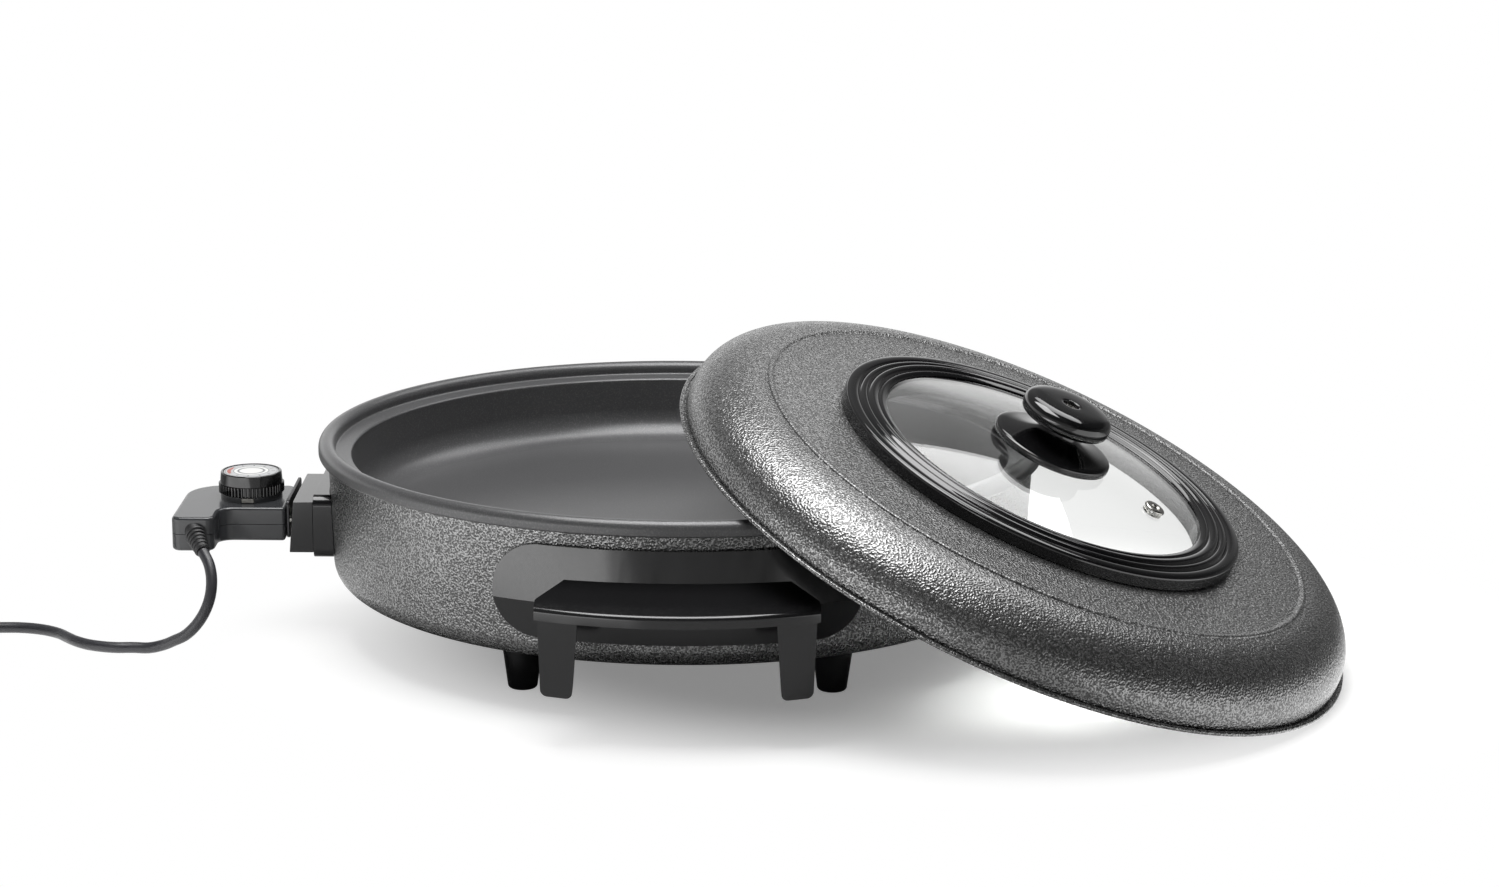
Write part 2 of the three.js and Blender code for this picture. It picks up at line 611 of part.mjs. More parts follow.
const windowHalf = collar.windowWidth / 2;
const windowBackY = dial.y - collar.r + collar.windowDepth;
piece('controller_cover', cut(
  join(
    cut(
      prismZ(housingPlan(0), coverZ, coverTopZ),
      prismZ(housingPlan(housing.wall), coverZ - overrun, roofZ),
    ),
    ...bossRods(housing.bossR, coverZ, roofZ + housing.wall / 2),
    rod(collar.r, roofZ + housing.wall / 2, coverTopZ + collar.height, sides.middle)
      .translate(dialX, dial.y, 0),
  ),
  ...bossRods(housing.pilotR, coverZ - overrun, coverZ + housing.pilotDepth),
  rod(dial.spindleR + clearance, roofZ - overrun, dialZ + overrun).translate(dialX, dial.y, 0),
  prismZ(
    rectangle(
      dialX - windowHalf - clearance,
      dialX + windowHalf + clearance,
      dial.y - collar.r - overrun,
      windowBackY + clearance,
    ),
    coverTopZ,
    coverTopZ + collar.height + overrun,
  ),
), housingPlastic);
piece('dial_index_window', prismZ(
  rectangle(dialX - windowHalf, dialX + windowHalf, windowBackY - collar.windowDepth, windowBackY),
  coverTopZ + clearance,
  coverTopZ + clearance + collar.windowHeight,
), windowPlastic);

bosses.forEach(([x, y], i) => {
  const seatZ = housingZ + housingScrew.recessDepth - clearance;
  const depth = coverZ + housing.pilotDepth - clearance - seatZ;
  piece(
    `controller_screw_${i + 1}`,
    screwBody(housingScrew.shankR, housingScrew.headR, housingScrew.headHeight, depth)
      .rotateX(2 * quarter)
      .translate(x, y, seatZ),
    steel,
  );
});

// Thermostat switch and the probe rod that works it.
const switchRightX = dialX + switchBlock.x / 2;
piece('thermostat_switch', prismZ(
  rectangle(
    dialX - switchBlock.x / 2,
    switchRightX,
    dial.y - switchBlock.y / 2,
    dial.y + switchBlock.y / 2,
  ),
  switchZ,
  switchZ + switchBlock.z,
), windowPlastic);
piece('probe_rod', alongX(rod(probe.rodR, switchRightX + clearance, sleeveEndX - probe.tipGap))
  .translate(0, 0, probeZ), steel);

// Strain relief: a ribbed taper from the housing's front face towards the cord's first stretch.
const cordStart = cordRoute[0];
const cordWay = cordRoute[1].clone().sub(cordStart).normalize();
const reliefProfile = [new THREE.Vector2(0, -relief.length)];
for (let i = 0; i <= relief.ribs; i += 1) {
  const share = i / relief.ribs;
  const radius = relief.rootR + (relief.tipR - relief.rootR) * share;
  const height = relief.length * (share - 1);
  const rib = relief.ribShare * relief.length / relief.ribs;
  if (i > 0) reliefProfile.push(new THREE.Vector2(radius - relief.ribRise, height - rib));
  reliefProfile.push(new THREE.Vector2(radius, i > 0 ? height - rib / 2 : height));
  if (i < relief.ribs) {
    reliefProfile.push(new THREE.Vector2(radius, height + rib));
    reliefProfile.push(new THREE.Vector2(radius - relief.ribRise, height + 3 * rib / 2));
  }
}
reliefProfile.push(new THREE.Vector2(relief.tipR, 0), new THREE.Vector2(0, 0));
const reliefTurn = new THREE.Quaternion().setFromUnitVectors(new THREE.Vector3(0, 0, 1), cordWay);
const reliefTip = cordStart.clone().addScaledVector(cordWay, -clearance);
const reliefBody = turned(reliefProfile, sides.small)
  .applyQuaternion(reliefTurn)
  .translate(reliefTip.x, reliefTip.y, reliefTip.z);
piece('strain_relief', common(reliefBody, prismZ(
  rectangle(
    reliefTip.x - relief.length,
    reliefTip.x + relief.length,
    housing.legY - clearance - relief.length,
    housing.legY - clearance,
  ),
  reliefTip.z - relief.length,
  reliefTip.z + relief.length,
)), rubber);

// Dial: knurled band, plain top and a recess for the silver face.
const bandTopZ = dialZ + dial.bandHeight;
const dialTopZ = dialZ + dial.height;
const faceZ = dialTopZ - dial.faceRecess;
const bandOutline = Array.from({ length: dial.teeth * 2 }, (_, i) => {
  const radius = dial.bandR - (i % 2) * dial.tooth;
  const angle = Math.PI * i / dial.teeth;
  return new THREE.Vector2(radius * Math.cos(angle), radius * Math.sin(angle));
});
const boreTopZ = dialZ + dial.boreDepth;
piece('dial_knob', cut(
  join(
    prismZ(bandOutline, dialZ, bandTopZ),
    turned(outline([
      [0, dialZ + dial.bandHeight / 2],
      [dial.topR, dialZ + dial.bandHeight / 2],
      [dial.shoulderR, bandTopZ],
      [dial.topR, dialTopZ, dial.edgeR],
      [dial.faceR + clearance, dialTopZ],
      [dial.faceR + clearance, faceZ],
      [0, faceZ],
    ], 2), sides.middle),
  ),
  rod(dial.spindleR + clearance, dialZ - overrun, boreTopZ),
).translate(dialX, dial.y, 0), glossPlastic);
piece('dial_face', rod(dial.faceR, faceZ + clearance, faceZ + clearance + dial.faceHeight, sides.middle)
  .translate(dialX, dial.y, 0), silver);
piece('dial_spindle', rod(dial.spindleR, switchZ + switchBlock.z + clearance, boreTopZ - clearance)
  .translate(dialX, dial.y, 0), steel);

// Lid, in its own frame: the flange's underside is height 0 and the knob points up.
const flangeR = lipInnerR - shell.fit;
const shellR = flangeR - shell.flange;
const shoulderMidR = shellR - shell.shoulderR;
const crownZ = shell.height + shell.crownRise;
const shoulderSteps = 5;
const shoulder = (inset) => Array.from({ length: shoulderSteps + 1 }, (_, i) => {
  const angle = quarter * i / shoulderSteps;
  return [
    shoulderMidR + (shell.shoulderR - inset) * Math.cos(angle),
    shell.skirtHeight + (shell.height - shell.skirtHeight - inset) * Math.sin(angle),
  ];
});
const turnInR = flangeR - shell.turnIn;
const shellProfile = [
  [turnInR + shell.edge, 0],
  [flangeR - shell.edge, 0],
  [flangeR, shell.edge],
  [flangeR, shell.flangeHeight - shell.edge],
  [flangeR - shell.edge, shell.flangeHeight],
  [shellR + shell.groove, shell.flangeHeight],
  [shellR + shell.groove, shell.flangeHeight - shell.grooveDepth],
  [shellR, shell.flangeHeight - shell.grooveDepth],
  ...shoulder(0),
  [shell.holeR, crownZ],
  [shell.holeR, crownZ - shell.wall],
  ...shoulder(shell.wall).reverse(),
  [shellR - shell.wall, shell.flangeHeight],
  [turnInR, shell.flangeHeight],
  [turnInR, shell.edge],
];
piece('lid_shell', turned(shellProfile, sides.large), hammered, lidGroup);

// The black ring drops a collar through the shell's hole and holds the glass under its lip.
const ringZ = crownZ + clearance;
const ringOuterR = shell.holeR + ring.outerStep;
const ringInnerR = ringOuterR - ring.width;
const collarR = shell.holeR - clearance;
const collarInnerR = collarR - ring.collar;
const collarZ = ringZ - ring.collarDepth;
const ringTop = ring.profileShares.map(
  ([across, up]) => [ringInnerR + across * ring.width, ringZ + up * ring.height],
);
const ringTipZ = ringTop[ringTop.length - 1][1] - ring.tip;
const sag = (radius) => glass.capR - Math.sqrt(glass.capR ** 2 - radius ** 2);
const glassZ = ringTipZ - clearance + sag(ringInnerR);
const glassTop = (radius) => glassZ - sag(radius);
const glassInnerR = glass.capR - glass.thickness;
const glassUnder = (radius) => glassZ - glass.capR + Math.sqrt(glassInnerR ** 2 - radius ** 2);
piece('lid_ring_upper', turned([
  [collarInnerR, collarZ],
  [collarR, collarZ],
  [collarR, ringZ],
  [ringOuterR, ringZ],
  ...ringTop,
  [ringInnerR, ringTipZ],
  [collarInnerR, glassTop(collarInnerR) + clearance],
], sides.large), glossPlastic, lidGroup);

// The lower ring takes the collar in a trough and bears on the glass from below.
const clampOuterR = collarR + clamp.troughGap + clamp.rim;
const clampInnerR = clampOuterR - clamp.width;
const troughZ = collarZ - clearance;
const clampTopZ = crownZ - shell.wall - shell.crownRise * (clampOuterR - shell.holeR)
  / (shoulderMidR - shell.holeR) - clearance;
const clampWallR = collarInnerR - clearance;
const clampProfile = [
  [clampInnerR, troughZ - clamp.floor],
  [clampOuterR, troughZ - clamp.floor],
  [clampOuterR, clampTopZ],
  [collarR + clamp.troughGap, clampTopZ],
  [collarR + clamp.troughGap, troughZ],
  [clampWallR, troughZ],
  [clampWallR, glassUnder(clampWallR) - clearance],
  [clampInnerR, glassUnder(clampInnerR) - clearance],
];
piece('lid_ring_lower', turned(clampProfile, sides.large), blackPlastic, lidGroup);

// Glass pane: a shallow cap with holes for the knob's screw and the steam vent.
const glassR = collarInnerR - clearance;
const knobBoreR = knobScrew.shankR + clearance;
const glassRings = 5;
const glassSteps = Array.from({ length: glassRings + 1 }, (_, i) => (
  knobBoreR + (glassR - knobBoreR) * i / glassRings
));
const ventTilt = Math.asin(glass.ventAt / glass.capR);
function atVent(geometry) {
  const mid = glass.capR - glass.thickness / 2;
  return geometry
    .translate(0, 0, mid)
    .rotateY(ventTilt)
    .rotateZ(glass.ventTurn)
    .translate(0, 0, glassZ - glass.capR);
}
piece('lid_glass', cut(
  turned([
    ...glassSteps.map((radius) => [radius, glassUnder(radius)]),
    ...glassSteps.map((radius) => [radius, glassTop(radius)]).reverse(),
  ], sides.large),
  atVent(rod(glass.ventR, -glass.thickness, glass.thickness)),
), clearGlass, lidGroup);

const grommetSeat = glass.thickness / 2 + clearance;
const grommetNeckR = glass.ventR - clearance;
piece('vent_grommet', atVent(turned([
  [grommet.boreR, -grommetSeat - grommet.lowerHeight],
  [grommet.lowerR, -grommetSeat - grommet.lowerHeight],
  [grommet.lowerR, -grommetSeat],
  [grommetNeckR, -grommetSeat],
  [grommetNeckR, grommetSeat],
  [grommet.upperR, grommetSeat],
  [grommet.upperR, grommetSeat + grommet.upperHeight / 2],
  [grommet.upperR - grommet.upperHeight / 2, grommetSeat + grommet.upperHeight],
  [grommet.boreR, grommetSeat + grommet.upperHeight],
], sides.small)), steel, lidGroup);

// Knob: a skirt on the glass, a cap on the skirt's neck, and a screw with its nut under the glass.
const skirtZ = glassZ + clearance;
const capZ = skirtZ + knobSkirt.height + clearance;
const capTopZ = capZ + knobCap.height;
const shaped = (part, z) => part.profileShares.map(
  ([across, up]) => [across * part.r, z + up * part.height],
);
piece('knob_skirt', turned([
  [knobBoreR, skirtZ],
  ...shaped(knobSkirt, skirtZ),
  [knobBoreR, skirtZ + knobSkirt.height],
], sides.middle), glossPlastic, lidGroup);
piece('knob_cap', turned([
  [knobBoreR, capZ],
  ...shaped(knobCap, capZ),
  [knobCap.recessR, capTopZ - knobCap.recessDepth * knobCap.bevelShare],
  [knobCap.recessR, capTopZ - knobCap.recessDepth],
  [knobBoreR, capTopZ - knobCap.recessDepth],
], sides.middle), glossPlastic, lidGroup);
const nutTopZ = glassUnder(knobNut.r) - clearance;
const knobSeatZ = capTopZ - knobCap.recessDepth + clearance;
piece('knob_screw', screwBody(
  knobScrew.shankR,
  knobScrew.headR,
  knobScrew.headHeight,
  knobSeatZ - nutTopZ + knobScrew.thread,
  sides.small,
).translate(0, 0, knobSeatZ), steel, lidGroup);
piece('knob_nut', turned([
  [knobBoreR, nutTopZ - knobNut.height],
  [knobNut.r, nutTopZ - knobNut.height],
  [knobNut.r, nutTopZ],
  [knobBoreR, nutTopZ],
], sides.small), steel, lidGroup);

// The lid leans with its lower edge on the table. Its tilt is the least one at which the pan's
// rolled lip clears the inside of the shell and the lower ring.
function gapToProfile(profile, r, h) {
  let least = Infinity;
  let inside = false;
  profile.forEach(([r1, h1], i) => {
    const [r0, h0] = profile[(i + profile.length - 1) % profile.length];
    const along = ((r - r0) * (r1 - r0) + (h - h0) * (h1 - h0)) / ((r1 - r0) ** 2 + (h1 - h0) ** 2);
    const share = Math.min(1, Math.max(0, along));
    least = Math.min(least, Math.hypot(r - r0 - share * (r1 - r0), h - h0 - share * (h1 - h0)));
    if ((h0 > h) !== (h1 > h) && r < r0 + (r1 - r0) * (h - h0) / (h1 - h0)) inside = !inside;
  });
  return inside ? -least : least;
}
const leanDistance = flangeR + lean.outset;
const leanPlace = (tilt) => new THREE.Vector3(
  leanDistance * Math.cos(lean.azimuth),
  leanDistance * Math.sin(lean.azimuth),
  (flangeR - shell.edge) * Math.sin(tilt),
);
function rimGap(tilt) {
  const place = leanPlace(tilt);
  const up = new THREE.Vector3(
    Math.sin(tilt) * Math.cos(lean.azimuth),
    Math.sin(tilt) * Math.sin(lean.azimuth),
    Math.cos(tilt),
  );
  const step = 2 * Math.PI / lean.stepsPerTurn;
  let least = Infinity;
  for (let angle = -quarter; angle <= quarter; angle += step) {
    const at = new THREE.Vector3(
      lipMidR * Math.cos(lean.azimuth + angle),
      lipMidR * Math.sin(lean.azimuth + angle),
      lipMidZ,
    ).sub(place);
    const height = at.dot(up);
    const radius = at.addScaledVector(up, -height).length();
    least = Math.min(
      least,
      gapToProfile(shellProfile, radius, height),
      gapToProfile(clampProfile, radius, height),
    );
  }
  return least - lipR;
}
let [lowTilt, highTilt] = [lean.lowTilt, lean.highTilt];
for (let i = 0; i < lean.tries; i += 1) {
  const tilt = (lowTilt + highTilt) / 2;
  if (rimGap(tilt) < lean.touch) lowTilt = tilt;
  else highTilt = tilt;
}
lidGroup.rotation.set(0, highTilt, lean.azimuth, 'ZYX');
lidGroup.position.copy(leanPlace(highTilt));
const tiltDegrees = highTilt * 180 / Math.PI;
console.log('lid tilt', tiltDegrees.toFixed(3), 'gap to the lip', rimGap(highTilt).toFixed(2));

// Mains lead down to the table and away.
const cordCurve = new THREE.CatmullRomCurve3(cordRoute);
piece('mains_cord', tubeAlong(cordCurve, cord.r, cord.steps, sides.cord), cordJacket, cordGroup);

// The rest of the lead is wound in two layers: inward below, outward above, climbing where it turns
// back. It starts in line with the route's end.
const routeEnd = cordRoute[cordRoute.length - 1];
const coilX = routeEnd.x - 2 * cord.r - clearance;
const coilY = routeEnd.y - coil.startR;
function coilPoint(turns) {
  const inward = Math.min(turns, coil.turns - turns);
  const radius = coil.startR - coil.pitch * inward;
  const climb = Math.min(1, Math.max(0, (turns - coil.climbFrom) / (coil.climbTo - coil.climbFrom)));
  const angle = quarter + 2 * Math.PI * turns;
  return new THREE.Vector3(
    coilX + radius * Math.cos(angle),
    coilY + radius * Math.sin(angle),
    coil.z + coil.pitch * climb,
  );
}
const coilStart = coilPoint(0);
const coilEnd = coilPoint(coil.turns);
const coilPoints = [
  coilStart.clone().add(new THREE.Vector3(2 * cord.r, 0, 0)),
  ...Array.from(
    { length: coil.turns * coil.turnSteps + 1 },
    (_, i) => coilPoint(i / coil.turnSteps),
  ),
  coilEnd.clone().add(new THREE.Vector3(-2 * cord.r, 0, 0)),
];

// One unbroken tube through points, each ring square to the path, closed by a flat fan at both ends.
function tubeThrough(points, radius, count) {
  const positions = [];
  const faces = [];
  points.forEach((point, i) => {
    const before = points[Math.max(0, i - 1)];
    const after = points[Math.min(points.length - 1, i + 1)];
    const way = i === 0 || i === points.length - 1
      ? new THREE.Vector3(-1, 0, 0)
      : after.clone().sub(before).normalize();
    const across = new THREE.Vector3(0, 0, 1).cross(way).normalize();
    const up = way.clone().cross(across);
    for (let j = 0; j < count; j += 1) {
      const angle = 2 * Math.PI * (j + 0.5) / count;
      const corner = point.clone()
        .addScaledVector(across, radius * Math.cos(angle))
        .addScaledVector(up, radius * Math.sin(angle));
      positions.push(corner.x, corner.y, corner.z);
    }
    if (i === 0) return;
    for (let j = 0; j < count; j += 1) {
      const a = (i - 1) * count + j;
      const b = (i - 1) * count + (j + 1) % count;
      faces.push(a, b, b + count, a, b + count, a + count);
    }
  });
  const last = (points.length - 1) * count;
  for (let j = 1; j < count - 1; j += 1) {
    faces.push(0, j + 1, j);
    faces.push(last, last + j, last + j + 1);
  }
  const geometry = new THREE.BufferGeometry();
  geometry.setAttribute('position', new THREE.Float32BufferAttribute(positions, 3));
  geometry.setIndex(faces);
  return geometry;
}
piece('cord_coil', tubeThrough(coilPoints, cord.r, sides.turn), cordJacket, cordGroup);

// Least gap between stretches of the coil that are a quarter turn or more apart.
let coilGap = Infinity;
const finePoints = Array.from(
  { length: coil.turns * coil.fineTurnSteps + 1 },
  (_, i) => coilPoint(i / coil.fineTurnSteps),
);
finePoints.forEach((point, i) => {
  for (let j = i + coil.fineTurnSteps / 4; j < finePoints.length; j += 1) {
    coilGap = Math.min(coilGap, point.distanceTo(finePoints[j]) - 2 * cord.r);
  }
});
console.log('least gap in the coil', coilGap.toFixed(2));

// Tie: a flat strap round all the turns at one place.
const tieAngle = quarter + 2 * Math.PI * tie.turnAt;
const tieRadii = [];
for (let turns = tie.turnAt; turns <= coil.turns; turns += 1) {
  const at = coilPoint(turns);
  tieRadii.push(Math.hypot(at.x - coilX, at.y - coilY));
}
const tieInR = Math.min(...tieRadii) - cord.r - tie.slack;
const tieOutR = Math.max(...tieRadii) + cord.r + tie.slack;
const tieLowZ = coil.z - cord.r - clearance;
const tieHighZ = coil.z + coil.pitch + cord.r + clearance;
const tieSection = (grow) => rectangle(
  tieInR - grow,
  tieOutR + grow,
  tieLowZ - grow,
  tieHighZ + grow,
  tie.cornerR + grow,
  3,
);
piece('cord_tie', cut(
  prismY(tieSection(tie.thickness), -tie.width / 2, tie.width / 2),
  prismY(tieSection(0), -tie.width / 2 - overrun, tie.width / 2 + overrun),
).rotateZ(tieAngle).translate(coilX, coilY, 0), strap, cordGroup);

// Plug: a flat round body lying on its back, fed from the side through a tapered sleeve.
const plugFrontX = coilPoints[coilPoints.length - 1].x - clearance;
const plugX = plugFrontX - plug.sleeveLength - Math.sqrt(plug.r ** 2 - plug.sleeveRootR ** 2);
const plugTopZ = plug.lift + plug.height;
const pinBottomZ = plugTopZ - plug.pinSeat;
const pinYs = [-plug.pinGap / 2, plug.pinGap / 2];
piece('mains_plug', cut(
  join(
    turned(outline([
      [0, plug.lift],
      [plug.r, plug.lift, plug.edgeR],
      [plug.r, plugTopZ, plug.edgeR],
      [0, plugTopZ],
    ], 3), sides.middle).translate(plugX, coilEnd.y, 0),
    alongX(turned([
      [0, plugX],
      [plug.sleeveRootR, plugX],
      [plug.sleeveRootR, plugFrontX - plug.sleeveLength],
      [plug.sleeveTipR, plugFrontX],
      [0, plugFrontX],
    ], sides.small)).translate(0, coilEnd.y, coilEnd.z),
  ),
  ...pinYs.map((y) => rod(plug.pinR + clearance, pinBottomZ - clearance, plugTopZ + overrun, sides.tiny)
    .translate(plugX, coilEnd.y + y, 0)),
), blackPlastic, cordGroup);
pinYs.forEach((y, i) => {
  piece(`plug_pin_${i + 1}`, rod(plug.pinR, pinBottomZ, plugTopZ + plug.pinLength, sides.tiny)
    .translate(plugX, coilEnd.y + y, 0), steel, cordGroup);
});

// How the lead's length adds up.
const coilLength = coilPoints.slice(1).reduce(
  (sum, point, i) => sum + point.distanceTo(coilPoints[i]),
  0,
);
const leadLength = cordCurve.getLength() + coilLength;
console.log('lead', leadLength.toFixed(0), 'of which coiled', coilLength.toFixed(0));

// The origin is the middle of the object's outline on the table, measured without the lead.
body.updateMatrixWorld(true);
const middle = new THREE.Box3().setFromObject(body, true).getCenter(new THREE.Vector3());
whole.position.set(-middle.x, -middle.y, 0);
console.log('moved by', whole.position.x.toFixed(3), whole.position.y.toFixed(3));

export default whole;
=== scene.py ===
import math
import bmesh
import bpy
from mathutils import Matrix, Vector


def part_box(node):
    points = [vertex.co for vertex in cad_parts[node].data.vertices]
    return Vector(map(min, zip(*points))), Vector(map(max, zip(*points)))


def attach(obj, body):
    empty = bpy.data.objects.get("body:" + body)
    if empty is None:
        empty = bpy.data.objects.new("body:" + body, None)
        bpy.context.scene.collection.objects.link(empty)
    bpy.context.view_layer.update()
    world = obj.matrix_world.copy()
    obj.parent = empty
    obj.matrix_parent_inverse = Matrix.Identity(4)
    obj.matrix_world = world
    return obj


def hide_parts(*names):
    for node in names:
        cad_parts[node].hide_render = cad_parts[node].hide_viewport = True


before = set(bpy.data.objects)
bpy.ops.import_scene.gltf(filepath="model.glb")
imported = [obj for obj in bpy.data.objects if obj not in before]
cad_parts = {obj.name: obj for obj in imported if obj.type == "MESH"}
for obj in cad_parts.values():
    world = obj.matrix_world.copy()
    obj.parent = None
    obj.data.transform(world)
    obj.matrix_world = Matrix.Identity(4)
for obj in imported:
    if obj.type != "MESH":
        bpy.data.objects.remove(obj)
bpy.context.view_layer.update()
print("frame loaded:", len(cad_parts), "nodes")

# Sizes below are millimetres from the pan's axis, with the table at 0. panPlace turns them into the row frame.
panLow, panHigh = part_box("inner_pan")
panPlace = Matrix.Translation(((panLow.x + panHigh.x) / 2, (panLow.y + panHigh.y) / 2, 0)) @ Matrix.Scale(0.001, 4)
scene = bpy.context.scene


# Small tools for settings, objects, meshes, nodes and colours.
def withSettings(made, **settings):
    for name, value in settings.items():
        setattr(made, name, value)
    return made


def addObject(name, data):
    made = bpy.data.objects.new(name, data)
    scene.collection.objects.link(made)
    return made


def linear(hexColour):
    parts = [int(hexColour[i:i + 2], 16) / 255 for i in (1, 3, 5)]
    return [p / 12.92 if p <= 0.04045 else ((p + 0.055) / 1.055) ** 2.4 for p in parts] + [1]


def feed(node, inputs):
    for key, value in inputs.items():
        if isinstance(value, bpy.types.Node):
            value = value.outputs[0]
        if isinstance(value, bpy.types.NodeSocket):
            node.id_data.links.new(value, node.inputs[key])
        else:
            node.inputs[key].default_value = value


# Adds a node with its settings. An input is a value, a socket, or a node for its first output.
def addNode(tree, kind, inputs=None, stops=(), **settings):
    made = withSettings(tree.nodes.new(kind), **settings)
    feed(made, inputs or {})
    for i, (position, colour) in enumerate(stops):
        elements = made.color_ramp.elements
        stop = elements[i] if i < 2 else elements.new(position)
        stop.position = position
        stop.color = colour
    return made


def tidyFaces(piece, joinWithin=0.002):
    shape = bmesh.new()
    shape.from_mesh(piece.data)
    bmesh.ops.remove_doubles(shape, verts=shape.verts, dist=joinWithin)
    bmesh.ops.dissolve_degenerate(shape, edges=shape.edges, dist=joinWithin / 2)
    bmesh.ops.recalc_face_normals(shape, faces=shape.faces)
    shape.to_mesh(piece.data)
    shape.free()
    return piece


def meshPiece(name, points, faces=(), edges=()):
    mesh = bpy.data.meshes.new(name)
    mesh.from_pydata([tuple(p) for p in points], list(edges), [tuple(f) for f in faces])
    return addObject(name, mesh)


def settle(piece):
    graph = bpy.context.evaluated_depsgraph_get()
    plain = bpy.data.meshes.new_from_object(piece.evaluated_get(graph))
    old = piece.data
    piece.modifiers.clear()
    piece.data = plain
    bpy.data.meshes.remove(old)
    plain.name = piece.name
    return piece


def carve(piece, tool, operation="DIFFERENCE"):
    withSettings(piece.modifiers.new("carve", "BOOLEAN"), operation=operation, object=tool, solver="EXACT")
    settle(piece)
    bpy.data.objects.remove(tool)
    return tidyFaces(piece)


def soften(piece, width, segments=3, degrees=40):
    withSettings(
        piece.modifiers.new("soften", "BEVEL"), width=width, segments=segments, limit_method="ANGLE",
        angle_limit=math.radians(degrees), use_clamp_overlap=True)
    return settle(piece)


def rounded(corners, steps=6):
    points = []
    for i, corner in enumerate(corners):
        at = Vector(corner[:2])
        radius = corner[2] if len(corner) > 2 else 0
        if not radius:
            points.append(at)
            continue
        back = (Vector(corners[i - 1][:2]) - at).normalized()
        ahead = (Vector(corners[(i + 1) % len(corners)][:2]) - at).normalized()
        half = math.acos(max(-1, min(1, back.dot(ahead)))) / 2
        middle = at + (back + ahead).normalized() * radius / math.sin(half)
        start = at + back * radius / math.tan(half) - middle
        sweep = math.copysign(math.pi - 2 * half, -(back.x * ahead.y - back.y * ahead.x))
        for step in range(steps + 1):
            turn = sweep * step / steps
            points.append(middle + Vector((
                start.x * math.cos(turn) - start.y * math.sin(turn),
                start.x * math.sin(turn) + start.y * math.cos(turn),
            )))
    return points


def throughPoints(points, steps=6):
    made = []
    points = [Vector(p) for p in points]
    for i in range(len(points) - 1):
        a, b, c, d = points[max(i - 1, 0)], points[i], points[i + 1], points[min(i + 2, len(points) - 1)]
        for step in range(steps):
            t = step / steps
            bend, twist = 2 * a - 5 * b + 4 * c - d, 3 * b - a - 3 * c + d
            made.append(0.5 * (2 * b + (c - a) * t + bend * t * t + twist * t ** 3))
    return made + [points[-1]]


def rectangle(x0, x1, y0, y1, radius=0, steps=6):
    return rounded([(x0, y0, radius), (x1, y0, radius), (x1, y1, radius), (x0, y1, radius)], steps)


# A rectangle that is even about the middle.
def panel(half, low, high, radius, steps=6):
    return rectangle(-half, half, low, high, radius, steps)


def prism(name, points, low, high, axis="z"):
    spot = "xyz".index(axis)
    count = len(points)
    corners = [(*p[:spot], t, *p[spot:]) for t in (low, high) for p in points]
    faces = [range(count), range(2 * count - 1, count - 1, -1)]
    faces += [(i, i + count, (i + 1) % count + count, (i + 1) % count) for i in range(count)]
    return tidyFaces(meshPiece(name, corners, faces))


# Geometry Nodes trees. A tree's inputs are named, and are set on the modifier by their identifiers.
def startTree(name, **inputs):
    tree = bpy.data.node_groups.new(name, "GeometryNodeTree")
    tree.interface.new_socket("Geometry", in_out="INPUT", socket_type="NodeSocketGeometry")
    for label, value in inputs.items():
        kind = "NodeSocketInt" if isinstance(value, int) else "NodeSocketFloat"
        tree.interface.new_socket(label, in_out="INPUT", socket_type=kind).default_value = value
    tree.interface.new_socket("Finish", in_out="INPUT", socket_type="NodeSocketMaterial")
    tree.interface.new_socket("Geometry", in_out="OUTPUT", socket_type="NodeSocketGeometry")
    return tree, addNode(tree, "NodeGroupInput").outputs


# Ends a tree in Realize Instances and Set Material.
def endTree(tree, shape, given):
    realized = addNode(tree, "GeometryNodeRealizeInstances", {0: shape})
    finished = addNode(tree, "GeometryNodeSetMaterial", {"Geometry": realized, "Material": given["Finish"]})
    addNode(tree, "NodeGroupOutput", {0: finished})


def shapeWith(piece, tree, **values):
    step = piece.modifiers.new(tree.name, "NODES")
    step.node_group = tree
    for item in tree.interface.items_tree:
        if item.item_type == "SOCKET" and item.in_out == "INPUT" and item.name in values:
            step[item.identifier] = values[item.name]
    return settle(piece)


# Spins a profile of points (radius, 0, height) once round Z: a grid whose columns are turned copies of it.
mergeWithin = 0.002
spinTree, given = startTree("spinProfile", Sides=192)
rows = addNode(spinTree, "GeometryNodeAttributeDomainSize", {"Geometry": given["Geometry"]}).outputs["Point Count"]
columns = addNode(spinTree, "ShaderNodeMath", {0: given["Sides"], 1: 1.0}, operation="ADD")
grid = addNode(spinTree, "GeometryNodeMeshGrid", {"Vertices X": columns, "Vertices Y": rows})
index = addNode(spinTree, "GeometryNodeInputIndex")
share = addNode(spinTree, "ShaderNodeMath", {0: index, 1: rows}, operation="DIVIDE")
column = addNode(spinTree, "ShaderNodeMath", {0: share}, operation="FLOOR")
row = addNode(spinTree, "ShaderNodeMath", {0: index, 1: rows}, operation="MODULO")
turn = addNode(spinTree, "ShaderNodeMath", {0: column, 1: given["Sides"]}, operation="DIVIDE")
angle = addNode(spinTree, "ShaderNodeMath", {0: turn, 1: 2 * math.pi}, operation="MULTIPLY")
place = addNode(spinTree, "GeometryNodeInputPosition")
sample = addNode(spinTree, "GeometryNodeSampleIndex", data_type="FLOAT_VECTOR", domain="POINT")
feed(sample, {"Geometry": given["Geometry"], "Value": place, "Index": row})
turned = addNode(spinTree, "ShaderNodeVectorRotate", {
    "Vector": sample.outputs["Value"], "Angle": angle,
}, rotation_type="Z_AXIS")
moved = addNode(spinTree, "GeometryNodeSetPosition", {"Geometry": grid, "Position": turned})
merged = addNode(spinTree, "GeometryNodeMergeByDistance", {"Geometry": moved, "Distance": mergeWithin})
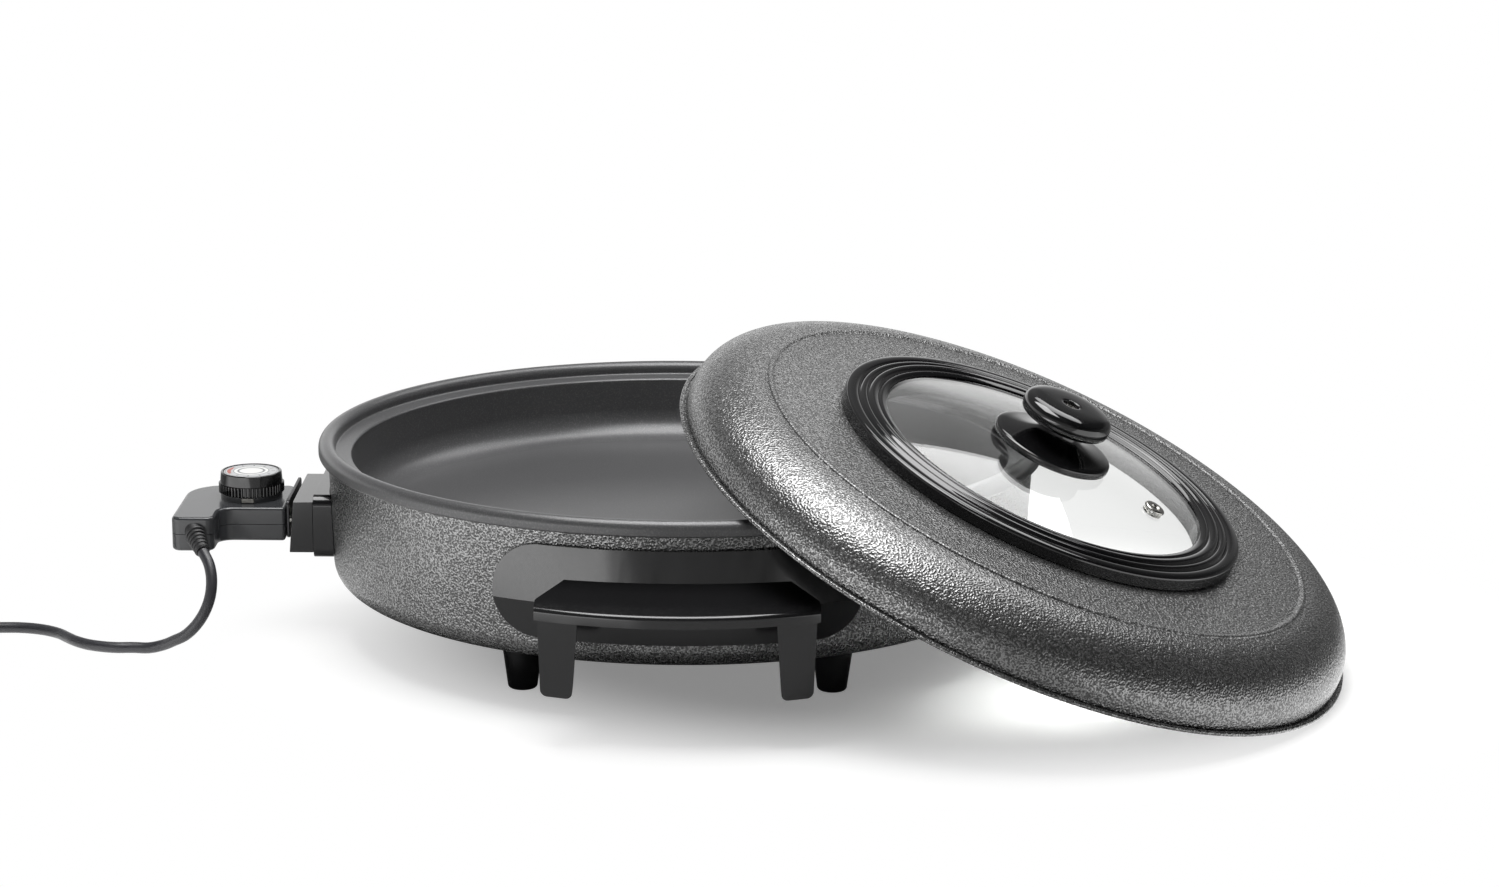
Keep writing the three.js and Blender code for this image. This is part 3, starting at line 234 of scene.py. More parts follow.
endTree(spinTree, merged, given)


def spun(name, profile, sides=192):
    points = [(p[0], 0, p[1]) for p in profile]
    line = meshPiece(name, points, edges=[(i, i + 1) for i in range(len(points) - 1)])
    return tidyFaces(shapeWith(line, spinTree, Sides=sides))


def ringOf(name, profile, sides=192):
    return spun(name, list(profile) + [profile[0]], sides)


# A disc or a peg, with its upper edge rounded.
def disc(name, radius, low, high, edge=0, steps=4, sides=96):
    return spun(name, rounded([(0, low), (radius, low), (radius, high, edge), (0, high)], steps), sides)


# Cuts a round hole from one height to another along the Z axis of a place.
def drill(piece, place, radius, low, high, sides=32):
    hole = disc("hole", radius, low, high, sides=sides)
    hole.data.transform(place)
    carve(piece, hole)


# The last step of a piece: smooth faces with true edges, its place in the mesh and its body.
def complete(piece, finish, body, nodes=(), place=panPlace, sharp=32):
    mesh = piece.data
    mesh.materials.clear()
    mesh.materials.append(finish)
    mesh.polygons.foreach_set("use_smooth", [True] * len(mesh.polygons))
    mesh.set_sharp_from_angle(angle=math.radians(sharp))
    piece.modifiers.new("evenShading", "WEIGHTED_NORMAL").keep_sharp = True
    settle(piece)
    piece.data.transform(place)
    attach(piece, body)
    if nodes:
        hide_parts(*nodes)
    return piece


# Camera, as the picture was taken: a little to the right of the pan's axis and 13 degrees down.
view = {
    "place": (3.67, -1753.58, 517.56), "down": 0.23002, "turn": 0.02683, "sensor": 36, "lens": 73.96,
    "shift": 0.0965, "clipEnd": 60,
}
camera = addObject("viewCamera", withSettings(
    bpy.data.cameras.new("viewCamera"), sensor_width=view["sensor"], lens=view["lens"], shift_x=view["shift"],
    clip_end=view["clipEnd"]))
camera.location = panPlace @ Vector(view["place"])
camera.rotation_euler = (math.pi / 2 - view["down"], 0, view["turn"])
scene.camera = camera


# Materials. Object coordinates are metres. A noise's marks are about twice its scale's size, so a pitch that
# is measured from mark to mark has 2000 over it in millimetres as its scale, and a fine grain has 1000.
def startMaterial(name, colour, **sockets):
    material = bpy.data.materials.new(name)
    material.use_nodes = True
    tree = material.node_tree
    shader = tree.nodes["Principled BSDF"]
    feed(shader, {"Base Color": linear(colour)})
    feed(shader, {label.replace("_", " "): value for label, value in sockets.items()})
    where = addNode(tree, "ShaderNodeTexCoord").outputs["Object"]
    return material, tree, shader, where


# Hammered enamel, sprayed on pressed steel: a flaky grey paint drawn into small worms that glint in the light.
# The real worms are about 1.5 mm apart and are drawn wider, so that they show in the render.
hammer = {
    "colour": "#6c6c6c", "dark": "#525252", "light": "#868686", "wormMm": 2.15, "swellMm": 6, "swell": 0.3,
    "depth": 0.00038,
}
hammeredEnamel, tree, shader, where = startMaterial(
    "hammeredEnamel", hammer["colour"], Metallic=0.75, Roughness=0.28)
worms = addNode(tree, "ShaderNodeTexNoise", {"Vector": where, "Scale": 2000 / hammer["wormMm"], "Detail": 0})
swells = addNode(tree, "ShaderNodeTexNoise", {"Vector": where, "Scale": 2000 / hammer["swellMm"], "Detail": 0})
contrast = addNode(tree, "ShaderNodeMapRange", {"Value": worms, "From Min": 0.4, "From Max": 0.6})
paint = addNode(tree, "ShaderNodeValToRGB", {"Fac": contrast}, [
    (0, linear(hammer["dark"])), (1, linear(hammer["light"])), (0.5, linear(hammer["colour"])),
])
sheen = addNode(tree, "ShaderNodeMapRange", {"Value": contrast, "To Min": 0.33, "To Max": 0.22})
height = addNode(tree, "ShaderNodeMath", {0: swells, 1: hammer["swell"], 2: worms}, operation="MULTIPLY_ADD")
relief = addNode(tree, "ShaderNodeBump", {"Height": height, "Strength": 1, "Distance": hammer["depth"]})
feed(shader, {"Base Color": paint, "Roughness": sheen, "Normal": relief})

# Non-stick coating on cast aluminium: satin grey-black with a fine metallic fleck and a soft, even sheen.
coating = {
    "colour": "#4e4e4f", "fleck": "#636364", "fleckMm": 0.9, "grainMm": 0.7, "depth": 0.00001, "cloudScale": 18,
}
nonStickCoating, tree, shader, where = startMaterial(
    "nonStickCoating", coating["colour"], Metallic=0.2, Roughness=0.34)
fleck = addNode(tree, "ShaderNodeTexNoise", {"Vector": where, "Scale": 1000 / coating["fleckMm"], "Detail": 2})
fleckShare = addNode(tree, "ShaderNodeMapRange", {"Value": fleck, "From Min": 0.5, "From Max": 0.75})
colour = addNode(tree, "ShaderNodeMix", {
    0: fleckShare, 6: linear(coating["colour"]), 7: linear(coating["fleck"]),
}, data_type="RGBA")
cloud = addNode(tree, "ShaderNodeTexNoise", {"Vector": where, "Scale": coating["cloudScale"], "Detail": 3})
sheen = addNode(tree, "ShaderNodeMapRange", {"Value": cloud, "To Min": 0.31, "To Max": 0.37})
grain = addNode(tree, "ShaderNodeTexNoise", {"Vector": where, "Scale": 1000 / coating["grainMm"], "Detail": 2})
relief = addNode(tree, "ShaderNodeBump", {"Height": grain, "Strength": 0.6, "Distance": coating["depth"]})
feed(shader, {"Base Color": colour.outputs[2], "Roughness": sheen, "Normal": relief})

# Moulded plastics differ in colour, gloss and the grain of their mould, and worked metals in colour,
# roughness and the fine lines left by turning. Both are a cloudy tint under an uneven gloss.
moulded = {"cloudScale": 26, "cloudDetail": 4, "from": (0.3, 0.7), "unevenness": 0.12, "strength": 0.5}
worked = {"cloudScale": 60, "cloudDetail": 5, "from": (0, 1), "unevenness": 0.3, "strength": 0.3}


def grainedFinish(make, name, colour, stain, gloss, grainMm, depth, **sockets):
    material, tree, shader, where = startMaterial(name, colour, Roughness=gloss, **sockets)
    cloud = addNode(tree, "ShaderNodeTexNoise", {
        "Vector": where, "Scale": make["cloudScale"], "Detail": make["cloudDetail"],
    })
    tint = addNode(tree, "ShaderNodeMix", {0: cloud, 6: linear(colour), 7: linear(stain)}, data_type="RGBA")
    grain = addNode(tree, "ShaderNodeTexNoise", {"Vector": where, "Scale": 1000 / grainMm, "Detail": 3})
    sheen = addNode(tree, "ShaderNodeMapRange", {
        "Value": grain, "From Min": make["from"][0], "From Max": make["from"][1],
        "To Min": gloss * (1 - make["unevenness"]), "To Max": gloss * (1 + make["unevenness"]),
    })
    relief = addNode(tree, "ShaderNodeBump", {"Height": grain, "Strength": make["strength"], "Distance": depth})
    feed(shader, {"Base Color": tint.outputs[2], "Roughness": sheen, "Normal": relief})
    return material


# Smooth black that isn't quite glossy, polished deep black, spark-grained grey-black, and a soft dull black.
satinPhenolic = grainedFinish(moulded, "satinPhenolic", "#151516", "#1b1b1c", 0.15, 1.4, 0.000003, IOR=1.55)
glossPhenolic = grainedFinish(moulded, "glossPhenolic", "#0d0d0e", "#121213", 0.07, 5.0, 0.000012, IOR=1.6)
filledNylon = grainedFinish(moulded, "filledNylon", "#303133", "#37383a", 0.22, 0.6, 0.000002, IOR=1.53)
reliefPvc = grainedFinish(moulded, "reliefPvc", "#1c1c1d", "#262627", 0.5, 1.2, 0.00002, IOR=1.52)
# A satin cable jacket, an off-white index window, and the unglazed ceramic of the switch.
sheathPvc = grainedFinish(moulded, "sheathPvc", "#26262a", "#303034", 0.42, 1.6, 0.00003, IOR=1.52)
paleAcetal = grainedFinish(moulded, "paleAcetal", "#96948e", "#a3a19b", 0.35, 1.0, 0.00001, IOR=1.48)
steatite = grainedFinish(moulded, "steatite", "#cfcabc", "#d9d5ca", 0.55, 0.8, 0.00002, IOR=1.6)
# Bright plated pins, screws and grommet, heat-tinted stainless tube, and blackened sheet.
nickelPlate = grainedFinish(worked, "nickelPlate", "#c6c5c1", "#b3b1ab", 0.22, 0.4, 0.00001, Metallic=1)
sheathSteel = grainedFinish(worked, "sheathSteel", "#77736c", "#4f4a46", 0.45, 0.7, 0.00001, Metallic=1)
guardSteel = grainedFinish(worked, "guardSteel", "#4b4b4c", "#3d3d3e", 0.38, 0.6, 0.00001, Metallic=1)

# Tempered glass: clear, with a faint ripple from its heating, and open to the light that makes shadows.
glassLook = {"colour": "#fbfcfb", "rippleScale": 14, "rippleDepth": 0.0006}
temperedGlass, tree, shader, where = startMaterial(
    "temperedGlass", glassLook["colour"], Roughness=0.01, IOR=1.5, Transmission_Weight=1)
ripple = addNode(tree, "ShaderNodeTexNoise", {"Vector": where, "Scale": glassLook["rippleScale"], "Detail": 1})
relief = addNode(tree, "ShaderNodeBump", {"Height": ripple, "Strength": 0.15, "Distance": glassLook["rippleDepth"]})
feed(shader, {"Normal": relief})
clear = addNode(tree, "ShaderNodeBsdfTransparent", {"Color": linear(glassLook["colour"])})
rays = addNode(tree, "ShaderNodeLightPath")
passing = addNode(tree, "ShaderNodeMixShader", {0: rays.outputs["Is Shadow Ray"], 1: shader, 2: clear})
feed(tree.nodes["Material Output"], {"Surface": passing})

# Spun aluminium foil on the dial: printed rings and a scale of strokes round a bright centre.
# Ring places are shares of the face's radius, and redFrom is where the red end of the scale starts.
dialAt = Vector((-250.5, -6.5, 0))
face = {
    "silver": "#c4c5c6", "ink": "#55575a", "white": "#f2f2f0", "red": "#b4523f", "rimMm": 16, "strokes": 12,
    "strokeShare": 0.12, "scaleFrom": 0.74, "scaleTo": 0.88, "redFrom": -0.0112,
}
spunAluminium, tree, shader, where = startMaterial("spunAluminium", face["silver"], Metallic=0.6, Roughness=0.3)
dialMiddle = panPlace @ dialAt
centred = addNode(tree, "ShaderNodeMapping", {0: where, 1: (-dialMiddle.x, -dialMiddle.y, 0)})
parts = addNode(tree, "ShaderNodeSeparateXYZ", {0: centred}).outputs
flat = addNode(tree, "ShaderNodeCombineXYZ", {0: parts[0], 1: parts[1]})
reach = addNode(tree, "ShaderNodeVectorMath", {0: flat}, operation="LENGTH").outputs["Value"]
ringShare = addNode(tree, "ShaderNodeMath", {0: reach, 1: 1000 / face["rimMm"]}, operation="MULTIPLY")
silver, ink, white, red = (linear(face[word]) for word in ("silver", "ink", "white", "red"))
ringInk = addNode(tree, "ShaderNodeValToRGB", {0: ringShare}, [
    (0, white), (0.44, silver), (0.40, white), (0.455, ink), (0.485, ink), (0.50, silver),
    (0.55, white), (0.62, white), (0.64, ink), (0.665, silver), (0.93, silver), (0.95, ink), (0.97, silver),
])
around = addNode(tree, "ShaderNodeMath", {0: parts[1], 1: parts[0]}, operation="ARCTAN2")
strokes = addNode(tree, "ShaderNodeMath", {0: around, 1: face["strokes"] / math.pi}, operation="MULTIPLY")
stroke = addNode(tree, "ShaderNodeMath", {0: strokes, 1: 1.0}, operation="PINGPONG")
isStroke = addNode(tree, "ShaderNodeMath", {0: stroke, 1: face["strokeShare"]}, operation="LESS_THAN")
beyond = addNode(tree, "ShaderNodeMath", {0: ringShare, 1: face["scaleFrom"]}, operation="GREATER_THAN")
within = addNode(tree, "ShaderNodeMath", {0: ringShare, 1: face["scaleTo"]}, operation="LESS_THAN")
band = addNode(tree, "ShaderNodeMath", {0: beyond, 1: within}, operation="MULTIPLY")
scaleMark = addNode(tree, "ShaderNodeMath", {0: band, 1: isStroke}, operation="MULTIPLY")
marked = addNode(tree, "ShaderNodeMix", {0: scaleMark, 6: ringInk, 7: ink}, data_type="RGBA").outputs[2]
leftSide = addNode(tree, "ShaderNodeMath", {0: parts[0], 1: face["redFrom"]}, operation="LESS_THAN")
redPatch = addNode(tree, "ShaderNodeMath", {0: leftSide, 1: band}, operation="MULTIPLY")
printed = addNode(tree, "ShaderNodeMix", {0: redPatch, 6: marked, 7: red}, data_type="RGBA").outputs[2]
spinLines = addNode(tree, "ShaderNodeTexNoise", {"Scale": 60, "Detail": 2}, noise_dimensions="1D")
feed(spinLines, {"W": ringShare})
relief = addNode(tree, "ShaderNodeBump", {"Height": spinLines, "Strength": 0.3, "Distance": 0.00002})
feed(shader, {"Base Color": printed, "Normal": relief})

# Woven nylon strap: fine crossing ribs, dull black. A wave's bands are about 320 over its scale apart, in mm.
strapLook = {"colour": "#141416", "light": "#232326", "threadMm": 0.7}
wovenNylon, tree, shader, where = startMaterial("wovenNylon", strapLook["colour"], Roughness=0.85, Sheen_Weight=0.2)
warp, weft = (
    addNode(tree, "ShaderNodeTexWave", {"Vector": where, "Scale": 320 / strapLook["threadMm"]}, bands_direction=way)
    for way in ("Y", "DIAGONAL"))
weave = addNode(tree, "ShaderNodeMath", {0: warp.outputs[1], 1: weft.outputs[1]}, operation="MULTIPLY")
tint = addNode(tree, "ShaderNodeMix", {
    0: weave, 6: linear(strapLook["colour"]), 7: linear(strapLook["light"]),
}, data_type="RGBA")
relief = addNode(tree, "ShaderNodeBump", {"Height": weave, "Strength": 0.6, "Distance": 0.00015})
feed(shader, {"Base Color": tint.outputs[2], "Normal": relief})
print("materials ready")


# Mains lead: from the controller down to the table, away to the left and into a flat coil of two layers.
lead = {"r": 3.2, "length": 1.34, "steps": 5, "turnSteps": 72}
leadRoute = [
    (-269.5, -73.5, 59.5), (-265.2, -80.0, 54.0), (-263.1, -85.4, 46.5), (-263.6, -89.3, 37.8), (-266.7, -91.3, 29.1),
    (-271.9, -91.2, 21.2), (-278.4, -88.7, 14.7), (-285.5, -84.3, 10.2), (-292.7, -79.6, 6.1), (-301.5, -77.1, 3.5),
    (-311.0, -76.0, 3.3), (-320.5, -76.4, 3.3), (-329.9, -74.6, 3.4), (-338.5, -70.6, 3.4), (-346.0, -64.7, 3.5),
    (-352.1, -57.4, 3.4), (-358.2, -50.1, 3.4), (-365.8, -44.4, 3.4), (-374.5, -40.5, 3.4), (-383.8, -38.6, 3.4),
    (-393.4, -38.6, 3.4), (-402.9, -39.7, 3.5), (-412.3, -41.1, 3.9), (-421.8, -42.1, 4.4), (-431.3, -42.2, 4.5),
]
coil = {
    "x": -438, "y": -85.95, "z": 4.5, "startR": 43.75, "pitch": 7, "turns": 5, "climbFrom": 2.25, "climbTo": 2.75,
}


def coilPoint(turns):
    radius = coil["startR"] - coil["pitch"] * min(turns, coil["turns"] - turns)
    climb = min(1, max(0, (turns - coil["climbFrom"]) / (coil["climbTo"] - coil["climbFrom"])))
    climb = climb * climb * (3 - 2 * climb)
    angle = math.pi / 2 + 2 * math.pi * turns
    return Vector((
        coil["x"] + radius * math.cos(angle),
        coil["y"] + radius * math.sin(angle),
        coil["z"] + coil["pitch"] * climb,
    ))


leadPoints = throughPoints(leadRoute, lead["steps"])
leadPoints += [coilPoint(i / lead["turnSteps"]) for i in range(coil["turns"] * lead["turnSteps"] + 1)]
leadPoints.append(coilPoint(coil["turns"]) + Vector((-2 * lead["r"], 0, 0)))
leadData = withSettings(
    bpy.data.curves.new("mainsLead", "CURVE"), dimensions="3D", bevel_depth=lead["r"] * 0.001, bevel_resolution=5,
    use_fill_caps=True)
leadSpline = leadData.splines.new("POLY")
leadSpline.points.add(len(leadPoints) - 1)
for spot, point in zip(leadSpline.points, leadPoints):
    spot.co = (*(panPlace @ point), 1)
leadSpline.use_smooth = True
leadData.materials.append(sheathPvc)
mainsLead = addObject("mainsLead", leadData)
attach(mainsLead, "controller")
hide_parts("mains_cord", "cord_coil")

# Tie: a woven strap round all the turns.
tie = {
    "inner": 24.2, "outer": 45.8, "low": 1.0, "high": 15.0, "thickness": 0.8, "width": 8, "corner": 1.6,
    "edge": 0.25,
}


def tieOutline(grow):
    return rectangle(
        tie["inner"] - grow, tie["outer"] + grow, tie["low"] - grow, tie["high"] + grow, tie["corner"] + grow)


coilTie = prism("coilTie", tieOutline(tie["thickness"]), -tie["width"] / 2, tie["width"] / 2, "y")
carve(coilTie, prism("tieInside", tieOutline(0), -tie["width"], tie["width"], "y"))
soften(coilTie, tie["edge"], segments=2, degrees=30)
coilTie.data.transform(Matrix.Translation((coil["x"], coil["y"], 0)))
complete(coilTie, wovenNylon, "controller", ["cord_tie"])

# Plug: a round two-pin body lying on its back, with finger rings and a ribbed tapered sleeve.
plug = {
    "x": -486.36, "y": -42.2, "r": 18.5, "low": 0.3, "high": 24.3, "edge": 3, "sleeveZ": 11.5, "sleeveFrom": -444.7,
    "sleeveLength": 24, "tipR": 3.5, "rootR": 5.5, "pinR": 2.4, "pinFrom": 19.3, "pinTo": 43.3, "pinApart": 19,
    "pinEdge": 1.5,
    "fingerRings": (8.0, 12.0, 16.0), "ringDepth": 0.8, "ribs": 6, "ribFrom": 3, "ribApart": 3.4, "ribDepth": 0.7,
    "rootReach": 16, "grooveHalf": 0.9, "grooveFloorHalf": 0.5,
}
grip = [(0, plug["low"]), (plug["r"], plug["low"], plug["edge"])]
for level in plug["fingerRings"]:
    grip += [(plug["r"], level - 1, 0.4), (plug["r"] - plug["ringDepth"], level, 0.5), (plug["r"], level + 1, 0.4)]
grip += [(plug["r"], plug["high"], plug["edge"]), (0, plug["high"])]
plugBody = spun("mainsPlug", rounded(grip, 4), sides=96)
sleeve = [(0, 0), (plug["tipR"], 0, 0.4)]
for i in range(plug["ribs"]):
    along = plug["ribFrom"] + i * plug["ribApart"]
    radius = plug["tipR"] + (plug["rootR"] - plug["tipR"]) * along / plug["sleeveLength"]
    low, half, floorHalf = radius - plug["ribDepth"], plug["grooveHalf"], plug["grooveFloorHalf"]
    sleeve += [(radius, along - half), (low, along - floorHalf), (low, along + floorHalf), (radius, along + half)]
sleeveEnd = plug["sleeveLength"] + plug["rootReach"]
sleeve += [(plug["rootR"], plug["sleeveLength"]), (plug["rootR"], sleeveEnd), (0, sleeveEnd)]
sleeveBody = spun("plugSleeve", rounded(sleeve, 3), sides=40)
sleeveAt = Matrix.Translation((plug["sleeveFrom"] - plug["x"], 0, plug["sleeveZ"]))
sleeveBody.data.transform(sleeveAt @ Matrix.Rotation(-math.pi / 2, 4, "Y"))
carve(plugBody, sleeveBody, "UNION")
plugBody.data.transform(Matrix.Translation((plug["x"], plug["y"], 0)))
complete(plugBody, satinPhenolic, "controller", ["mains_plug"])
for i, side in enumerate((-1, 1)):
    pin = disc(f"plugPin{i + 1}", plug["pinR"], plug["pinFrom"], plug["pinTo"], plug["pinEdge"], 5, 32)
    pin.data.transform(Matrix.Translation((plug["x"], plug["y"] + side * plug["pinApart"] / 2, 0)))
    complete(pin, nickelPlate, "controller", [f"plug_pin_{i + 1}"])
print("mains lead laid")


# Pan: the cast bowl with its rolled lip and sunk ledge.
bowl = {
    "underZ": 64.8, "floorZ": 68.3, "wallFootR": 189.5, "wallTopR": 190.8, "wall": 3.2, "shoulderZ": 101.0,
    "rimZ": 105.5, "ledgeZ": 106.6, "ledgeInnerZ": 105.3, "ledgeInnerR": 191.6, "edgeZ": 104.5, "lipInnerR": 200.4,
    "rimR": 210, "lipR": 4.8, "lipZ": 109.3, "filletR": 18, "lipSteps": 20, "floorRings": (120, 60),
}


def arc(x, z, wide, high, sweep, steps):
    return [(
        x + wide * math.cos(sweep * i / steps),
        z + high * math.sin(sweep * i / steps),
    ) for i in range(steps + 1)]


lipArc = arc(bowl["rimR"] - bowl["lipR"], bowl["lipZ"], bowl["lipR"], bowl["lipR"], math.pi, bowl["lipSteps"])
castPan = spun("castPan", rounded([
    (0, bowl["underZ"]),
    (bowl["wallFootR"] + bowl["wall"], bowl["underZ"], bowl["filletR"] + bowl["wall"]),
    (bowl["wallTopR"] + bowl["wall"], bowl["shoulderZ"], 3),
    (bowl["lipInnerR"], bowl["rimZ"], 1),
    (bowl["rimR"], bowl["rimZ"], 1.2),
    *lipArc,
    (bowl["lipInnerR"], bowl["ledgeZ"], 1.2),
    (bowl["ledgeInnerR"], bowl["ledgeInnerZ"], 0.5),
    (bowl["wallTopR"], bowl["edgeZ"], 1.2),
    (bowl["wallFootR"], bowl["floorZ"], bowl["filletR"]),
    *((r, bowl["floorZ"]) for r in bowl["floorRings"]),
    (0, bowl["floorZ"]),
], 8), sides=288)
complete(castPan, nonStickCoating, "pan", ["inner_pan"])

# Jacket: the hammered shell, with a pressed ring underneath and holes behind the socket shroud. The contacts are
# the places of the two pins and the probe, each with its height and the radius of its hole.
jacket = {
    "footZ": 31.4, "topZ": 105.2, "footR": 201.7, "topR": 204.5, "wall": 1.6, "cornerR": 12, "beadR": 120,
    "beadRise": 1.1, "holesFrom": -215, "holesTo": -180,
}
contacts = [(-15, 61.0, 3.8), (15, 61.0, 3.8), (0, 60.3, 4.5)]
clearance = 0.3


# Bores along X at each contact, with its own radius or with one for all.
def boreContacts(piece, low, high, radius=None):
    for y, z, ownR in contacts:
        place = Matrix.Translation((0, y, z)) @ Matrix.Rotation(math.pi / 2, 4, "Y")
        drill(piece, place, radius or ownR, low, high)


beadTop = jacket["footZ"] + jacket["beadRise"]
hammeredJacket = spun("hammeredJacket", rounded([
    (0, jacket["footZ"]),
    (jacket["beadR"] - 5, jacket["footZ"], 1),
    (jacket["beadR"] - 3, beadTop, 1),
    (jacket["beadR"] + 3, beadTop, 1),
    (jacket["beadR"] + 5, jacket["footZ"], 1),
    (jacket["footR"], jacket["footZ"], jacket["cornerR"]),
    (jacket["topR"], jacket["topZ"], 0.6),
    (jacket["topR"] - jacket["wall"], jacket["topZ"], 0.6),
    (jacket["footR"] - jacket["wall"], jacket["footZ"] + jacket["wall"], jacket["cornerR"] - jacket["wall"]),
    (0, jacket["footZ"] + jacket["wall"]),
], 8), sides=288)
boreContacts(hammeredJacket, jacket["holesFrom"], jacket["holesTo"])
complete(hammeredJacket, hammeredEnamel, "pan", ["outer_jacket"])
print("pan ready")


def jacketR(z):
    share = (z - jacket["footZ"]) / (jacket["topZ"] - jacket["footZ"])
    return jacket["footR"] + (jacket["topR"] - jacket["footR"]) * share


# Cuts the room that the jacket takes, and a little more, out of a piece that stands against it.
def fitToJacket(piece, low, high):
    grown = [(jacketR(z) + clearance, z) for z in (low, high)]
    carve(piece, spun("jacketSpace", [(0, low), *grown, (0, high)], sides=384))


# Handles: a plate that follows the jacket, a sloping shelf with a turned-down lip and two guards.
handle = {
    "plateLow": 46.2, "plateHigh": 97.5, "creaseZ": 67.3, "lowStand": 3.7, "creaseStand": 7.9, "topStand": 2.8,
    "sink": 3, "half": 98, "endR": 25, "gripY": 67, "gripR": 185, "gripBackR": 119.7, "crestZ": 75.1, "slope": 0.137,
    "shelf": 4.5, "crestR": 2.6, "lipDepth": 3.5, "lipHeight": 6.3, "rootHalf": 59, "rootY": 200, "rootR": 12,
    "wideHalf": 73.7, "wideY": 225, "beyondY": 260, "cornerR": 8, "legTopIn": 50.8, "legTopOut": 72, "legTopDrop": 2,
    "legFootIn": 54, "legFootOut": 70.5, "legFootZ": 28.0, "legDepth": 14, "legInset": 0.5, "legDraft": 1.6,
    "legEdgeR": 3.5, "edge": 1.1, "screwX": 30, "screwZ": 64.2, "recessR": 4.2, "recessFrom": 204.9, "recessTo": 252,
    "plateCut": 300,
}


def aroundGrip(name, profile):
    made = ringOf(name, profile, sides=256)
    made.data.transform(Matrix.Translation((0, -handle["gripY"], 0)))
    return made


def slopeTo(radius):
    return handle["crestZ"] + handle["slope"] * (handle["gripR"] - radius)


def handleShape(name):
    low, crease, high = handle["plateLow"], handle["creaseZ"], handle["plateHigh"]
    plate = ringOf(name, [
        (jacketR(low) - handle["sink"], low),
        (jacketR(low) + handle["lowStand"], low),
        (jacketR(crease) + handle["creaseStand"], crease),
        (jacketR(high) + handle["topStand"], high),
        (jacketR(high) - handle["sink"], high),
    ], sides=384)
    plateFace = panel(handle["half"], low, high, handle["endR"], 24)
    carve(plate, prism("plateOutline", plateFace, -handle["plateCut"], 0, "y"), "INTERSECT")
    back, lipBack, front = handle["gripBackR"], handle["gripR"] - handle["lipDepth"], handle["gripR"]
    lipFoot = handle["crestZ"] - handle["lipHeight"]
    shelf = aroundGrip("shelf", rounded([
        (back, slopeTo(back) - handle["shelf"]),
        (lipBack, slopeTo(lipBack) - handle["shelf"]),
        (lipBack, lipFoot),
        (front, lipFoot),
        (front, handle["crestZ"], handle["crestR"]),
        (back, slopeTo(back)),
    ], 8))
    rightSide = [
        (handle["wideHalf"], -handle["beyondY"]), (handle["wideHalf"], -handle["wideY"], handle["cornerR"]),
        (handle["rootHalf"], -handle["rootY"], handle["rootR"]), (handle["rootHalf"], 0),
    ]
    plan = [(-x, *rest) for x, *rest in reversed(rightSide)] + rightSide
    carve(shelf, prism("shelfPlan", rounded(plan, 8), 20, 130), "INTERSECT")
    carve(plate, shelf, "UNION")
    legFoot, legTop = handle["legFootZ"], handle["crestZ"] - handle["legTopDrop"]
    legBack, legFront = handle["gripR"] - handle["legDepth"], handle["gripR"] - handle["legInset"]
    for side in (-1, 1):
        leg = aroundGrip("leg", [
            (legBack, legFoot), (legFront - handle["legDraft"], legFoot), (legFront, legTop), (legBack, legTop),
        ])
        legFace = rounded([
            (side * handle["legFootIn"], legFoot, handle["legEdgeR"]),
            (side * handle["legFootOut"], legFoot, handle["legEdgeR"]),
            (side * handle["legTopOut"], legTop),
            (side * handle["legTopIn"], legTop),
        ], 6)
        carve(leg, prism("legFace", legFace, -handle["beyondY"], -handle["rootY"], "y"), "INTERSECT")
        carve(plate, leg, "UNION")
    fitToJacket(plate, low - 30, high + 10)
    for side in (-1, 1):
        at = (side * handle["screwX"], 0, handle["screwZ"])
        place = Matrix.Translation(at) @ Matrix.Rotation(math.pi / 2, 4, "X")
        drill(plate, place, handle["recessR"], handle["recessFrom"], handle["recessTo"])
    return soften(plate, handle["edge"])


frontHandle = handleShape("frontHandle")
backHandle = meshPiece("backHandle", [])
backHandle.data = frontHandle.data.copy()
backHandle.data.transform(Matrix.Rotation(math.pi, 4, "Z"))
complete(frontHandle, satinPhenolic, "pan", ["handle_front"], sharp=16)
complete(backHandle, satinPhenolic, "pan", ["handle_back"], sharp=16)
print("handles ready")

# Feet: tapered, with a recess for the screw underneath.
foot = {
    "height": 31.1, "topR": 12.5, "waistR": 10.5, "waistZ": 19, "bottomR": 8, "edge": 2, "recessR": 4.2, "recess": 8,
    "x": 85.02, "y": 132.94,
}
footPlaces = {
    f"{end}_{side}": (x * foot["x"], y * foot["y"])
    for end, y in (("front", -1), ("back", 1)) for side, x in (("left", -1), ("right", 1))
}
for word, (x, y) in footPlaces.items():
    piece = spun("foot" + word.title().replace("_", ""), rounded([
        (0, foot["recess"]),
        (foot["recessR"], foot["recess"]),
        (foot["recessR"], 0, 0.5),
        (foot["bottomR"], 0, foot["edge"]),
        (foot["waistR"], foot["waistZ"], 14),
        (foot["topR"], foot["height"], 0.6),
        (0, foot["height"]),
    ], 6), sides=64)
    piece.data.transform(Matrix.Translation((x, y, 0)))
    complete(piece, satinPhenolic, "pan", ["foot_" + word])

